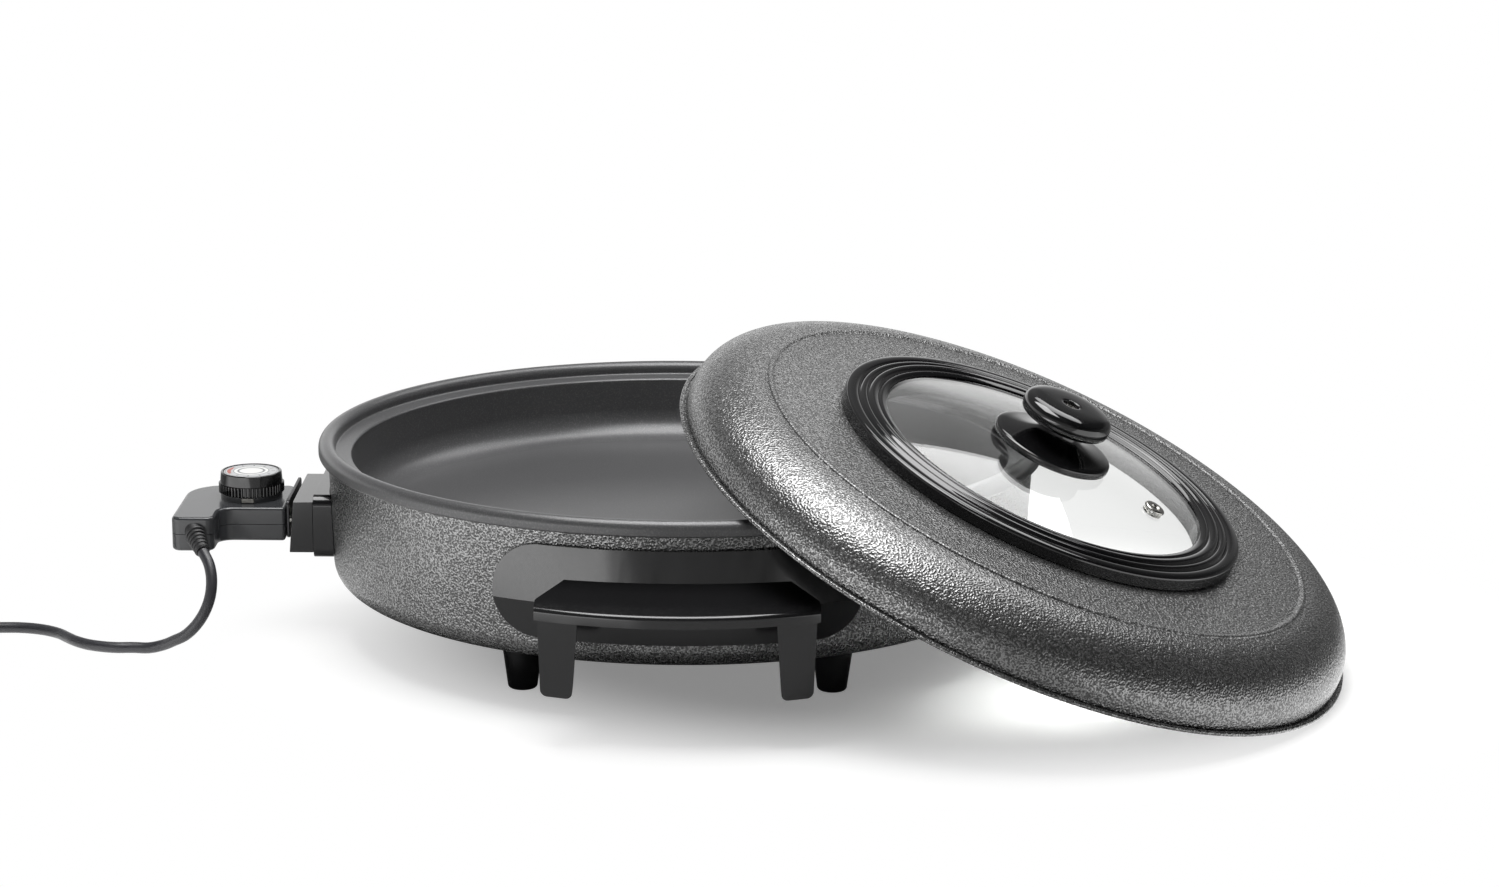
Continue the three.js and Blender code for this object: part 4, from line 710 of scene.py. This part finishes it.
# Screws: a pan head with a crossed recess, set on points that hold the way each head faces.
crossHead = {"slotLength": 4.6, "slotWidth": 0.9, "slotDepth": 2.4, "slotMiddle": 1.6, "edge": 0.25}
screwTree, given = startTree("crossHeadScrews", HeadRadius=3.5, HeadHeight=2.4)
head = addNode(screwTree, "GeometryNodeMeshCylinder", {
    "Vertices": 28, "Radius": given["HeadRadius"], "Depth": given["HeadHeight"],
})
slotAlong = addNode(screwTree, "GeometryNodeMeshCube", {
    "Size": (crossHead["slotLength"], crossHead["slotWidth"], crossHead["slotDepth"]),
})
slotAcross = addNode(screwTree, "GeometryNodeTransform", {"Geometry": slotAlong, "Rotation": (0, 0, math.pi / 2)})
slots = addNode(screwTree, "GeometryNodeJoinGeometry", {0: slotAlong})
feed(slots, {0: slotAcross})
slotsUp = addNode(screwTree, "GeometryNodeTransform", {
    "Geometry": slots, "Translation": (0, 0, crossHead["slotMiddle"]),
})
recessed = addNode(screwTree, "GeometryNodeMeshBoolean", {"Mesh 1": head, "Mesh 2": slotsUp}, operation="DIFFERENCE")
facing = addNode(screwTree, "GeometryNodeInputNamedAttribute", {"Name": "facing"}, data_type="FLOAT_VECTOR")
aligned = addNode(screwTree, "FunctionNodeAlignRotationToVector", {"Vector": facing}, axis="Z")
heads = addNode(screwTree, "GeometryNodeInstanceOnPoints", {
    "Points": given["Geometry"], "Instance": recessed, "Rotation": aligned,
})
endTree(screwTree, heads, given)


def screwHeads(name, places, body, nodes, radius, height, place=panPlace):
    points = meshPiece(name, [at for at, way in places])
    ways = points.data.attributes.new("facing", "FLOAT_VECTOR", "POINT")
    ways.data.foreach_set("vector", [part for at, way in places for part in way])
    shapeWith(points, screwTree, HeadRadius=radius, HeadHeight=height, Finish=nickelPlate)
    soften(points, crossHead["edge"], segments=2)
    return complete(points, nickelPlate, body, nodes, place)


panScrew = {"headR": 3.5, "headHeight": 2.4, "handleReach": 206.4}
footHeadZ = foot["recess"] - clearance - panScrew["headHeight"] / 2
screwHeads(
    "footScrews", [((x, y, footHeadZ), (0, 0, -1)) for x, y in footPlaces.values()], "pan",
    ["foot_screw_" + word for word in footPlaces], panScrew["headR"], panScrew["headHeight"])
handleScrews = [
    ((x, side * panScrew["handleReach"], handle["screwZ"]), (0, side, 0))
    for side in (-1, 1) for x in (-handle["screwX"], handle["screwX"])
]
screwHeads(
    "handleScrews", handleScrews, "pan", ["handle_screw_" + word for word in footPlaces],
    panScrew["headR"], panScrew["headHeight"])
print("feet and screws ready")

# Socket shroud: the frame round the pins.
shroud = {
    "frontX": -211.0, "backX": -195.0, "half": 38, "low": 46, "high": 83, "cornerR": 6, "edge": 1.6, "overrun": 5,
    "openHalf": 31.5, "openLow": 49.5, "openHigh": 79.5, "openR": 2.5,
}
shroudFace = panel(shroud["half"], shroud["low"], shroud["high"], shroud["cornerR"], 8)
shroudHole = panel(shroud["openHalf"], shroud["openLow"], shroud["openHigh"], shroud["openR"])
socketShroud = prism("socketShroud", shroudFace, shroud["frontX"], shroud["backX"], "x")
carve(socketShroud, prism(
    "shroudOpening", shroudHole, shroud["frontX"] - shroud["overrun"], shroud["backX"] + shroud["overrun"], "x"))
fitToJacket(socketShroud, 30, 100)
soften(socketShroud, shroud["edge"], segments=4)
complete(socketShroud, satinPhenolic, "pan", ["socket_shroud"], sharp=20)

# Plug block: wider at its foot than at its top, with a nose that goes into the shroud.
block = {
    "frontX": -211.3, "backLowX": -225.3, "backHighX": -222.9, "half": 35, "low": 49.0, "high": 79.0, "edge": 1.2,
    "noseX": -206.5, "noseHalf": 31, "noseLow": 50, "noseHigh": 78.8, "noseR": 3, "boreR": 3.3, "boreFrom": -224,
    "boreTo": -200,
}
plugBlock = prism("plugBlock", [
    (block["frontX"], block["low"]), (block["backLowX"], block["low"]),
    (block["backHighX"], block["high"]), (block["frontX"], block["high"]),
], -block["half"], block["half"], "y")
noseFace = panel(block["noseHalf"], block["noseLow"], block["noseHigh"], block["noseR"])
carve(plugBlock, prism("nose", noseFace, block["frontX"] - 2, block["noseX"], "x"), "UNION")
boreContacts(plugBlock, block["boreFrom"], block["boreTo"], block["boreR"])
soften(plugBlock, block["edge"], segments=4)
complete(plugBlock, satinPhenolic, "controller", ["plug_block"], sharp=20)

# Guard plate: thin dark sheet between the block and the housing.
guard = {"frontX": -225.6, "backX": -227.4, "half": 30, "low": 56.0, "high": 78.5, "cornerR": 3, "edge": 0.4}
guardFace = panel(guard["half"], guard["low"], guard["high"], guard["cornerR"], 5)
guardPlate = prism("guardPlate", guardFace, guard["frontX"], guard["backX"], "x")
soften(guardPlate, guard["edge"], segments=2)
complete(guardPlate, guardSteel, "controller", ["guard_plate"], sharp=20)

# Controller housing: an L in plan, in two halves with a thin line between them.
housing = {
    "rightX": -227.7, "leftX": -290.0, "frontY": -34, "backY": 21, "legY": -58, "legWidth": 24.5, "low": 55.5,
    "baseHigh": 65.2, "coverLow": 65.5, "high": 75.3, "rightCornerR": 2, "cornerR": 5, "backCornerR": 22,
    "innerCornerR": 8, "edge": 1.8, "bosses": [(-236.0, 12.7), (-277.75, -46.0)], "recessR": 3.3, "recessTo": 59.0,
    "screwR": 3.0, "screwHeight": 1.6, "screwZ": 57.9,
}
collar = {"r": 18, "low": 74, "high": 78.5, "edge": 0.4}
window = {"half": 3.5, "frontY": -24.5, "backY": -22.9, "low": 75.6, "high": 78.2, "edge": 0.25, "cornerR": 0.3}


def housingPlan():
    legRight = housing["leftX"] + housing["legWidth"]
    return rounded([
        (housing["rightX"], housing["frontY"], housing["rightCornerR"]),
        (housing["rightX"], housing["backY"], housing["cornerR"]),
        (housing["leftX"], housing["backY"], housing["backCornerR"]),
        (housing["leftX"], housing["legY"], housing["cornerR"]),
        (legRight, housing["legY"], housing["cornerR"]),
        (legRight, housing["frontY"], housing["innerCornerR"]),
    ], 10)


lowerHousing = prism("lowerHousing", housingPlan(), housing["low"], housing["baseHigh"])
upperHousing = prism("upperHousing", housingPlan(), housing["coverLow"], housing["high"])
for half, level in ((lowerHousing, housing["low"]), (upperHousing, housing["high"])):
    shape = bmesh.new()
    shape.from_mesh(half.data)
    outer = [e for e in shape.edges if all(abs(v.co.z - level) < 0.01 for v in e.verts)]
    bmesh.ops.bevel(shape, geom=outer, offset=housing["edge"], segments=5, profile=0.5, affect="EDGES")
    shape.to_mesh(half.data)
    shape.free()
for x, y in housing["bosses"]:
    drill(lowerHousing, Matrix.Translation((x, y, 0)), housing["recessR"], 50, housing["recessTo"], 24)
dialCollar = disc("dialCollar", collar["r"], collar["low"], collar["high"], collar["edge"])
dialCollar.data.transform(Matrix.Translation(dialAt))
carve(upperHousing, dialCollar, "UNION")
windowCut = rectangle(dialAt.x - window["half"] - clearance, dialAt.x + window["half"] + clearance, -27.0, -22.6)
carve(upperHousing, prism("windowCut", windowCut, housing["high"] + 0.01, 80))
complete(lowerHousing, filledNylon, "controller", ["controller_base"])
complete(upperHousing, filledNylon, "controller", ["controller_cover"])
indexWindow = prism("indexWindow", rectangle(
    dialAt.x - window["half"], dialAt.x + window["half"], window["frontY"], window["backY"], window["cornerR"],
), window["low"], window["high"])
soften(indexWindow, window["edge"], segments=2)
complete(indexWindow, paleAcetal, "controller", ["dial_index_window"])
screwHeads(
    "housingScrews", [((x, y, housing["screwZ"]), (0, 0, -1)) for x, y in housing["bosses"]], "controller",
    ["controller_screw_1", "controller_screw_2"], housing["screwR"], housing["screwHeight"])

# Strain relief: a tapered core with rings set along it.
strain = {
    "from": (-276.2, -58.0, 66.2), "depth": 10, "rootR": 6.0, "tipR": 4.4, "coreTipR": 3.8, "ribs": 6, "ribR": 0.95,
    "inset": 0.8, "ribsFrom": 1.6, "ribsTo": 1.5, "tipGap": 0.3, "tipEdge": 0.5,
}
ribTree, given = startTree("reliefRings", Rings=7, RootRadius=5.1, TipShare=0.84, RingThickness=0.85)
way = addNode(ribTree, "GeometryNodeMeshToCurve", {0: given["Geometry"]})
spots = addNode(ribTree, "GeometryNodeCurveToPoints", {"Curve": way, "Count": given["Rings"]}, mode="COUNT")
hoop = addNode(ribTree, "GeometryNodeCurvePrimitiveCircle", {"Resolution": 40, "Radius": given["RootRadius"]})
section = addNode(ribTree, "GeometryNodeCurvePrimitiveCircle", {"Resolution": 10, "Radius": given["RingThickness"]})
ring = addNode(ribTree, "GeometryNodeCurveToMesh", {"Curve": hoop, "Profile Curve": section})
gaps = addNode(ribTree, "ShaderNodeMath", {0: given["Rings"], 1: 1.0}, operation="SUBTRACT")
index = addNode(ribTree, "GeometryNodeInputIndex")
share = addNode(ribTree, "ShaderNodeMath", {0: index, 1: gaps}, operation="DIVIDE")
taper = addNode(ribTree, "ShaderNodeMapRange", {"Value": share, "To Min": 1.0, "To Max": given["TipShare"]})
rings = addNode(ribTree, "GeometryNodeInstanceOnPoints", {
    "Points": spots, "Instance": ring, "Rotation": spots.outputs["Rotation"], "Scale": taper,
})
endTree(ribTree, rings, given)

leadStart = Vector(leadRoute[0])
reliefWay = leadStart - Vector(strain["from"])
reliefLong = reliefWay.length
reliefWay.normalize()
coreFoot, coreTip = -reliefLong - strain["depth"], -strain["tipGap"]
reliefCore = spun("strainRelief", rounded([
    (0, coreFoot), (strain["rootR"], coreFoot), (strain["coreTipR"], coreTip, strain["tipEdge"]), (0, coreTip),
], 4), sides=40)
reliefCore.data.transform(Matrix.Translation(leadStart) @ reliefWay.to_track_quat("Z", "Y").to_matrix().to_4x4())
ribLine = meshPiece("reliefRibs", [
    leadStart - reliefWay * (reliefLong - strain["ribsFrom"]), leadStart - reliefWay * strain["ribsTo"],
], edges=[(0, 1)])
shapeWith(
    ribLine, ribTree, Rings=strain["ribs"], RootRadius=strain["rootR"] - strain["inset"],
    TipShare=strain["tipR"] / strain["rootR"], RingThickness=strain["ribR"], Finish=reliefPvc)
outside = prism("outsideHousing", rectangle(-320, -220, -140, housing["legY"] - 0.1), 20, 90)
carve(reliefCore, outside, "INTERSECT")
complete(reliefCore, reliefPvc, "controller", ["strain_relief"])
complete(ribLine, reliefPvc, "controller", [])
print("controller ready")

# Dial: a turned body with a band of fine teeth, and the printed face sunk in its top.
dial = {
    "low": 78.8, "bandHigh": 84.5, "high": 91, "bandR": 18.5, "bandInset": 0.4, "topR": 17.7, "shoulderR": 18.2,
    "recessR": 16.3, "recess": 1.3, "teeth": 54, "toothR": 0.62, "toothHeight": 5.3, "toothMiddle": 81.6,
    "faceR": 16, "faceLow": 89.7, "faceHigh": 90.7, "faceEdge": 0.2,
}
dialPlace = panPlace @ Matrix.Translation(dialAt)
bandR, recessZ = dial["bandR"] - dial["bandInset"], dial["high"] - dial["recess"]
dialKnob = spun("dialKnob", rounded([
    (0, dial["low"]),
    (bandR, dial["low"], 0.4),
    (bandR, dial["bandHigh"], 0.4),
    (dial["shoulderR"], dial["bandHigh"]),
    (dial["topR"], dial["high"], 0.7),
    (dial["recessR"], dial["high"], 0.3),
    (dial["recessR"], recessZ),
    (0, recessZ),
], 4), sides=120)
complete(dialKnob, glossPhenolic, "dial", ["dial_knob"], dialPlace)
toothTree, given = startTree("bandTeeth", Teeth=60, Radius=18.5, ToothRadius=0.5, Height=5.3, Middle=81.6)
band = addNode(toothTree, "GeometryNodeMeshCircle", {"Vertices": given["Teeth"], "Radius": given["Radius"]})
tooth = addNode(toothTree, "GeometryNodeMeshCylinder", {
    "Vertices": 10, "Radius": given["ToothRadius"], "Depth": given["Height"],
})
teeth = addNode(toothTree, "GeometryNodeInstanceOnPoints", {"Points": band, "Instance": tooth})
lift = addNode(toothTree, "ShaderNodeCombineXYZ", {2: given["Middle"]})
lifted = addNode(toothTree, "GeometryNodeTransform", {"Geometry": teeth, "Translation": lift})
endTree(toothTree, lifted, given)
dialTeeth = shapeWith(
    meshPiece("dialTeeth", [(0, 0, 0)]), toothTree, Teeth=dial["teeth"], Radius=dial["bandR"],
    ToothRadius=dial["toothR"], Height=dial["toothHeight"], Middle=dial["toothMiddle"], Finish=glossPhenolic)
complete(dialTeeth, glossPhenolic, "dial", [], dialPlace)
dialFace = disc("dialFace", dial["faceR"], dial["faceLow"], dial["faceHigh"], dial["faceEdge"], 3)
complete(dialFace, spunAluminium, "dial", ["dial_face"], dialPlace)

# Kept pieces inside the controller and under the bowl.
keptFinishes = [
    (sheathSteel, ["heating_element", "probe_sleeve"]),
    (steatite, ["thermostat_switch"]),
    (nickelPlate, ["terminal_pin_front", "terminal_pin_back", "contact_socket_front", "contact_socket_back",
                   "probe_rod", "dial_spindle"]),
]
for finish, words in keptFinishes:
    for word in words:
        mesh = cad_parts[word].data
        mesh.materials.clear()
        mesh.materials.append(finish)
print("dial ready")

# Lid: made upright about its own axis and then leant on the rim.
lid = {"place": (185.99608, -84.7633, 79.26758), "tilt": 0.4096950, "azimuth": -0.4276057}
lidPlace = (
    panPlace @ Matrix.Translation(lid["place"]) @ Matrix.Rotation(lid["azimuth"], 4, "Z")
    @ Matrix.Rotation(lid["tilt"], 4, "Y"))
shell = {
    "flangeR": 199.5, "turnInR": 188.3, "flangeHigh": 2.2, "shellR": 195.9, "skirtHigh": 7, "wall": 1.3,
    "shoulderR": 34.9, "high": 34.8, "crownHigh": 36.1, "holeR": 109.8, "groove": 1.3, "grooveDepth": 1.1,
    "bead": [(0.4, 0.8), (1.2, 1.15), (2.2, 1.2), (3.4, 0.7), (4.4, 0.4)],
}
shoulderMidR = shell["shellR"] - shell["shoulderR"]
grooveR, grooveZ = shell["shellR"] + shell["groove"], shell["flangeHigh"] - shell["grooveDepth"]


def shoulder(inset):
    wide, high = shell["shoulderR"] - inset, shell["high"] - shell["skirtHigh"] - inset
    return arc(shoulderMidR, shell["skirtHigh"], wide, high, math.pi / 2, 32)


# The bead is the raised line round the crown, as steps inward and up from the shoulder.
lidShell = ringOf("lidShell", rounded([
    (shell["turnInR"], 0, 0.5),
    (shell["flangeR"], 0, 0.9),
    (shell["flangeR"], shell["flangeHigh"], 0.9),
    (grooveR, shell["flangeHigh"], 0.4),
    (grooveR, grooveZ),
    (shell["shellR"], grooveZ),
    *shoulder(0),
    *((shoulderMidR - inward, shell["high"] + up) for inward, up in shell["bead"]),
    (shell["holeR"], shell["crownHigh"]),
    (shell["holeR"], shell["crownHigh"] - shell["wall"]),
    *reversed(shoulder(shell["wall"])),
    (shell["shellR"] - shell["wall"], shell["flangeHigh"], 0.6),
    (shell["turnInR"], shell["flangeHigh"], 0.6),
], 6), sides=288)
complete(lidShell, hammeredEnamel, "lid", ["lid_shell"], lidPlace, sharp=28)

glass = {
    "capR": 434.7, "thickness": 4, "topZ": 53.56, "edgeR": 104, "boreR": 2.8, "ventAt": 65.3, "ventTurn": 0.0995,
    "ventR": 4, "steps": 24,
}
capMiddle = glass["topZ"] - glass["capR"]


def glassTop(radius):
    return capMiddle + math.sqrt(glass["capR"] ** 2 - radius ** 2)


def glassUnder(radius):
    return capMiddle + math.sqrt((glass["capR"] - glass["thickness"]) ** 2 - radius ** 2)


# The black ring round the glass: three ridges spread over its width, then its collar and the ring that clamps it.
ringProfile = [(104.3, 30.5), (109.5, 30.5), (109.5, 36.4), (117.5, 36.4)]
ringProfile += throughPoints([
    (117.5, 41.6), (117.3, 42.8), (116.4, 43.6), (114.5, 43.9), (112.2, 43.9), (110.9, 43.6), (110.1, 43.0),
    (109.4, 43.6), (108.5, 44.5), (107.2, 44.7), (106.0, 44.5), (105.1, 43.8), (104.3, 44.5), (103.3, 45.3),
    (101.8, 45.4), (100.2, 45.1), (99.2, 44.5), (98.7, 44.0), (98.0, 44.5), (97.0, 44.7), (95.6, 44.4), (94.5, 44.0),
    (94.1, 43.75),
], 3)
ringProfile += [(93.9, glassTop(93.9) + 0.25), (104.3, glassTop(104.3) + clearance)]
upperRing = ringOf("upperRing", ringProfile, sides=288)
complete(upperRing, glossPhenolic, "lid", ["lid_ring_upper"], lidPlace, sharp=40)
clampRing = ringOf("clampRing", rounded([
    (95.5, 27.6, 0.8), (116, 27.6, 1.0), (116, 34.2, 0.5), (110.2, 34.2), (110.2, 30.2), (104, 30.2),
    (104, glassUnder(104) - clearance), (95.5, glassUnder(95.5) - clearance),
], 4), sides=288)
complete(clampRing, satinPhenolic, "lid", ["lid_ring_lower"], lidPlace)

radii = [
    glass["boreR"] + (glass["edgeR"] - glass["boreR"]) * i / glass["steps"] for i in range(glass["steps"] + 1)
]
lidGlass = ringOf("lidGlass", [(r, glassUnder(r)) for r in radii] + [(r, glassTop(r)) for r in reversed(radii)])
ventPlace = (
    Matrix.Translation((0, 0, capMiddle)) @ Matrix.Rotation(glass["ventTurn"], 4, "Z")
    @ Matrix.Rotation(math.asin(glass["ventAt"] / glass["capR"]), 4, "Y")
    @ Matrix.Translation((0, 0, glass["capR"] - glass["thickness"] / 2)))
drill(lidGlass, ventPlace, glass["ventR"], -5, 5, 40)
complete(lidGlass, temperedGlass, "lid", ["lid_glass"], lidPlace, sharp=40)
grommet = ringOf("ventGrommet", rounded([
    (2, -3.3, 0.3), (5.5, -3.3, 0.4), (5.5, -2.3), (3.7, -2.3), (3.7, 2.3), (6.0, 2.3), (6.0, 3.6, 1.0),
    (2.6, 3.6, 0.5), (2.0, 2.6, 0.5),
], 5), sides=48)
complete(grommet, nickelPlate, "lid", ["vent_grommet"], lidPlace @ ventPlace)

# Knob: a thick cap on a narrow neck that flares into a wide skirt on the glass.
knobSkirt = ringOf("knobSkirt", [(2.8, 53.9), (30.5, 53.4)] + throughPoints([
    (31.5, glassTop(31.5) + 0.2), (33.2, glassTop(33.2) + 0.3), (33.8, 53.4), (33.8, 55.6), (33.3, 56.7),
    (31.5, 57.3), (27.0, 57.9), (21.5, 58.9), (16.5, 60.3), (13.0, 62.0), (11.4, 64.2), (11.0, 66.2),
], 4) + [(11.0, 67.66), (2.8, 67.66)], sides=144)
complete(knobSkirt, glossPhenolic, "lid", ["knob_skirt"], lidPlace, sharp=40)
knobCap = ringOf("knobCap", [(2.8, 67.96), (11.0, 67.96)] + throughPoints([
    (11.6, 68.1), (15.5, 68.2), (20.0, 68.6), (23.0, 69.4), (24.8, 70.8), (25.4, 72.6), (25.5, 74.4), (25.3, 76.4),
    (24.4, 78.4), (22.3, 79.9), (18.5, 80.7), (11.5, 80.93), (5.6, 80.96),
], 4) + [(4.9, 80.8), (4.5, 80.3), (4.5, 76.5), (2.8, 76.5)], sides=144)
complete(knobCap, glossPhenolic, "lid", ["knob_cap"], lidPlace, sharp=40)
knobScrew = {"z": 78.0, "headR": 4.2, "headHeight": 2.5}
screwHeads(
    "knobScrew", [((0, 0, knobScrew["z"]), (0, 0, 1))], "lid", ["knob_screw"],
    knobScrew["headR"], knobScrew["headHeight"], lidPlace)
knobNut = ringOf("knobNut", rounded([
    (2.8, 45.1), (6.2, 45.1, 0.4), (7.0, 46.2, 0.4), (7.0, 49.2), (2.8, 49.2),
], 3), sides=48)
complete(knobNut, nickelPlate, "lid", ["knob_nut"], lidPlace)
print("lid ready")


# Studio: a white floor in a soft room, with a softbox above, one behind on the right and a low strip on the left.
studio = {
    "room": 0.38, "floor": "#f8f8f7", "nearFloorShade": "#b4b4b4", "glow": 0.23, "halfWidth": 8, "under": 0.0003,
    "shadowMiddle": (0.06, -0.02), "shadowWidth": 0.72, "shadowFrom": 0.13, "shadowTo": 0.29,
    "nearMiddle": (-0.05, -0.2), "nearFrom": 0.27, "nearTo": 0.33, "cardsTurn": 0.14,
}
across, under = studio["halfWidth"], -studio["under"]
floor = meshPiece("studioFloor", [
    (x * across, y * across, under) for x, y in ((-1, -1), (1, -1), (1, 1), (-1, 1))
], [(0, 1, 2, 3)])
floorPaint = bpy.data.materials.new("floorPaint")
floorPaint.use_nodes = True
tree = floorPaint.node_tree
tree.nodes.remove(tree.nodes["Principled BSDF"])
where = addNode(tree, "ShaderNodeTexCoord").outputs["Object"]
parts = addNode(tree, "ShaderNodeSeparateXYZ", {0: where}).outputs
matt = addNode(tree, "ShaderNodeBsdfDiffuse", {"Color": linear(studio["floor"])})


# How far a place is from a middle on the floor, where wide stretches or narrows it sideways.
def reachFrom(tree, where, middle, wide=1):
    moved = addNode(tree, "ShaderNodeMapping", {0: where, 1: (-middle[0], -middle[1], 0), 3: (wide, 1, 1)})
    return addNode(tree, "ShaderNodeVectorMath", {0: moved}, operation="LENGTH").outputs["Value"]


# What the camera sees: the lit floor with the shadow on it, and plain white further off.
glow = addNode(tree, "ShaderNodeEmission", {"Strength": studio["glow"]})
lit = addNode(tree, "ShaderNodeAddShader", {0: matt, 1: glow})
farShare = addNode(tree, "ShaderNodeMapRange", {
    "Value": reachFrom(tree, where, studio["shadowMiddle"], studio["shadowWidth"]),
    "From Min": studio["shadowFrom"], "From Max": studio["shadowTo"],
}, interpolation_type="SMOOTHSTEP")
white = addNode(tree, "ShaderNodeEmission", {"Strength": 1.0})
seenFloor = addNode(tree, "ShaderNodeMixShader", {0: farShare, 1: lit, 2: white})

# What gloss shows of it: the lit floor close by, drawn in a darker grey than the floor as painted shade, and further
# off a dark gap before the camera between light cards.
forward = addNode(tree, "ShaderNodeMath", {0: parts[1], 1: -1.0}, operation="MULTIPLY")
around = addNode(tree, "ShaderNodeMath", {0: parts[0], 1: forward}, operation="ARCTAN2")
offMiddle = addNode(tree, "ShaderNodeMath", {0: around, 1: -studio["cardsTurn"]}, operation="ADD")
off = addNode(tree, "ShaderNodeMath", {0: offMiddle}, operation="ABSOLUTE")
cardParts = {
    "beside": (off, (0.36, 0.42), (0.32, 1.0)),
    "leftward": (parts[0], (-0.15, 0.15), (2.3, 1.9)),
    "backward": (parts[1], (-0.1, 0.15), (1.0, 0.12)),
}


# Multiplies the levels of several ranges, each a socket with where it starts and ends and its level at both.
def levelOf(tree, ranges):
    level = 1.0
    for value, (start, end), (low, high) in ranges.values():
        part = addNode(tree, "ShaderNodeMapRange", {
            "Value": value, "From Min": start, "From Max": end, "To Min": low, "To Max": high,
        })
        level = addNode(tree, "ShaderNodeMath", {0: part, 1: level}, operation="MULTIPLY")
    return level


cardGlow = addNode(tree, "ShaderNodeEmission", {"Strength": levelOf(tree, cardParts)})
# Painted shade: close by, reflections show the floor in a darker grey than it is.
nearFloorShade = addNode(tree, "ShaderNodeBsdfDiffuse", {"Color": linear(studio["nearFloorShade"])})
cardStart = addNode(tree, "ShaderNodeMapRange", {
    "Value": reachFrom(tree, where, studio["nearMiddle"]),
    "From Min": studio["nearFrom"], "From Max": studio["nearTo"],
})
shining = addNode(tree, "ShaderNodeMixShader", {0: cardStart, 1: nearFloorShade, 2: cardGlow})


# The object's own light is plain, gloss sees shine, and the camera sees shown, through glass too.
def byRay(tree, plain, shine, shown):
    rays = addNode(tree, "ShaderNodeLightPath").outputs
    looking = addNode(tree, "ShaderNodeMath", {
        0: rays["Is Camera Ray"], 1: rays["Is Transmission Ray"],
    }, operation="MAXIMUM")
    unseen = addNode(tree, "ShaderNodeMixShader", {0: rays["Is Glossy Ray"], 1: plain, 2: shine})
    return addNode(tree, "ShaderNodeMixShader", {0: looking, 1: unseen, 2: shown})


feed(tree.nodes["Material Output"], {"Surface": byRay(tree, matt, shining, seenFloor)})
floor.data.materials.append(floorPaint)

# Room: even light for the object, white to the camera, and darker in front, overhead and right in reflections.
room = bpy.data.worlds.new("studioRoom")
scene.world = room
room.use_nodes = True
tree = room.node_tree
dim = tree.nodes["Background"]
feed(dim, {"Strength": studio["room"]})
bright = addNode(tree, "ShaderNodeBackground", {"Color": (1, 1, 1, 1), "Strength": 1.0})
toward = addNode(tree, "ShaderNodeTexCoord").outputs["Generated"]
sides = addNode(tree, "ShaderNodeSeparateXYZ", {0: toward}).outputs
roomParts = {
    "behind": (sides[1], (-0.8, 0.2), (0.28, 1.0)),
    "overhead": (sides[2], (0.26, 0.38), (1.3, 0.25)),
    "rightward": (sides[0], (0.15, 0.5), (1.0, 0.12)),
}
roomShine = addNode(tree, "ShaderNodeBackground", {"Color": (1, 1, 1, 1), "Strength": levelOf(tree, roomParts)})
feed(tree.nodes["World Output"], {"Surface": byRay(tree, dim, roomShine, bright)})

lamps = {
    "topSoftbox": {"at": (-0.1, -0.12, 1.45), "to": (-0.1, -0.12, 0), "size": (0.95, 1.1), "watts": 29, "roll": 0},
    "backSoftbox": {
        "at": (0.737, 0.827, 1.69), "to": (0.127, -0.288, 0.59), "size": (1.1, 1.1), "watts": 13, "roll": 49.6,
    },
    "leftStrip": {"at": (-0.95, -0.85, 0.1), "to": (0, 0, 0.1), "size": (1.3, 0.18), "watts": 2.1, "roll": 0},
}
for name, lamp in lamps.items():
    wide, high = lamp["size"]
    lampObject = addObject(name, withSettings(
        bpy.data.lights.new(name, "AREA"), shape="RECTANGLE", size=wide, size_y=high, energy=lamp["watts"]))
    lampObject.location = lamp["at"]
    aim = (Vector(lamp["to"]) - Vector(lamp["at"])).to_track_quat("-Z", "Y").to_matrix().to_4x4()
    lampObject.rotation_euler = (aim @ Matrix.Rotation(math.radians(lamp["roll"]), 4, "Z")).to_euler()
    lampObject.visible_camera = False
scene.view_settings.view_transform = "Standard"

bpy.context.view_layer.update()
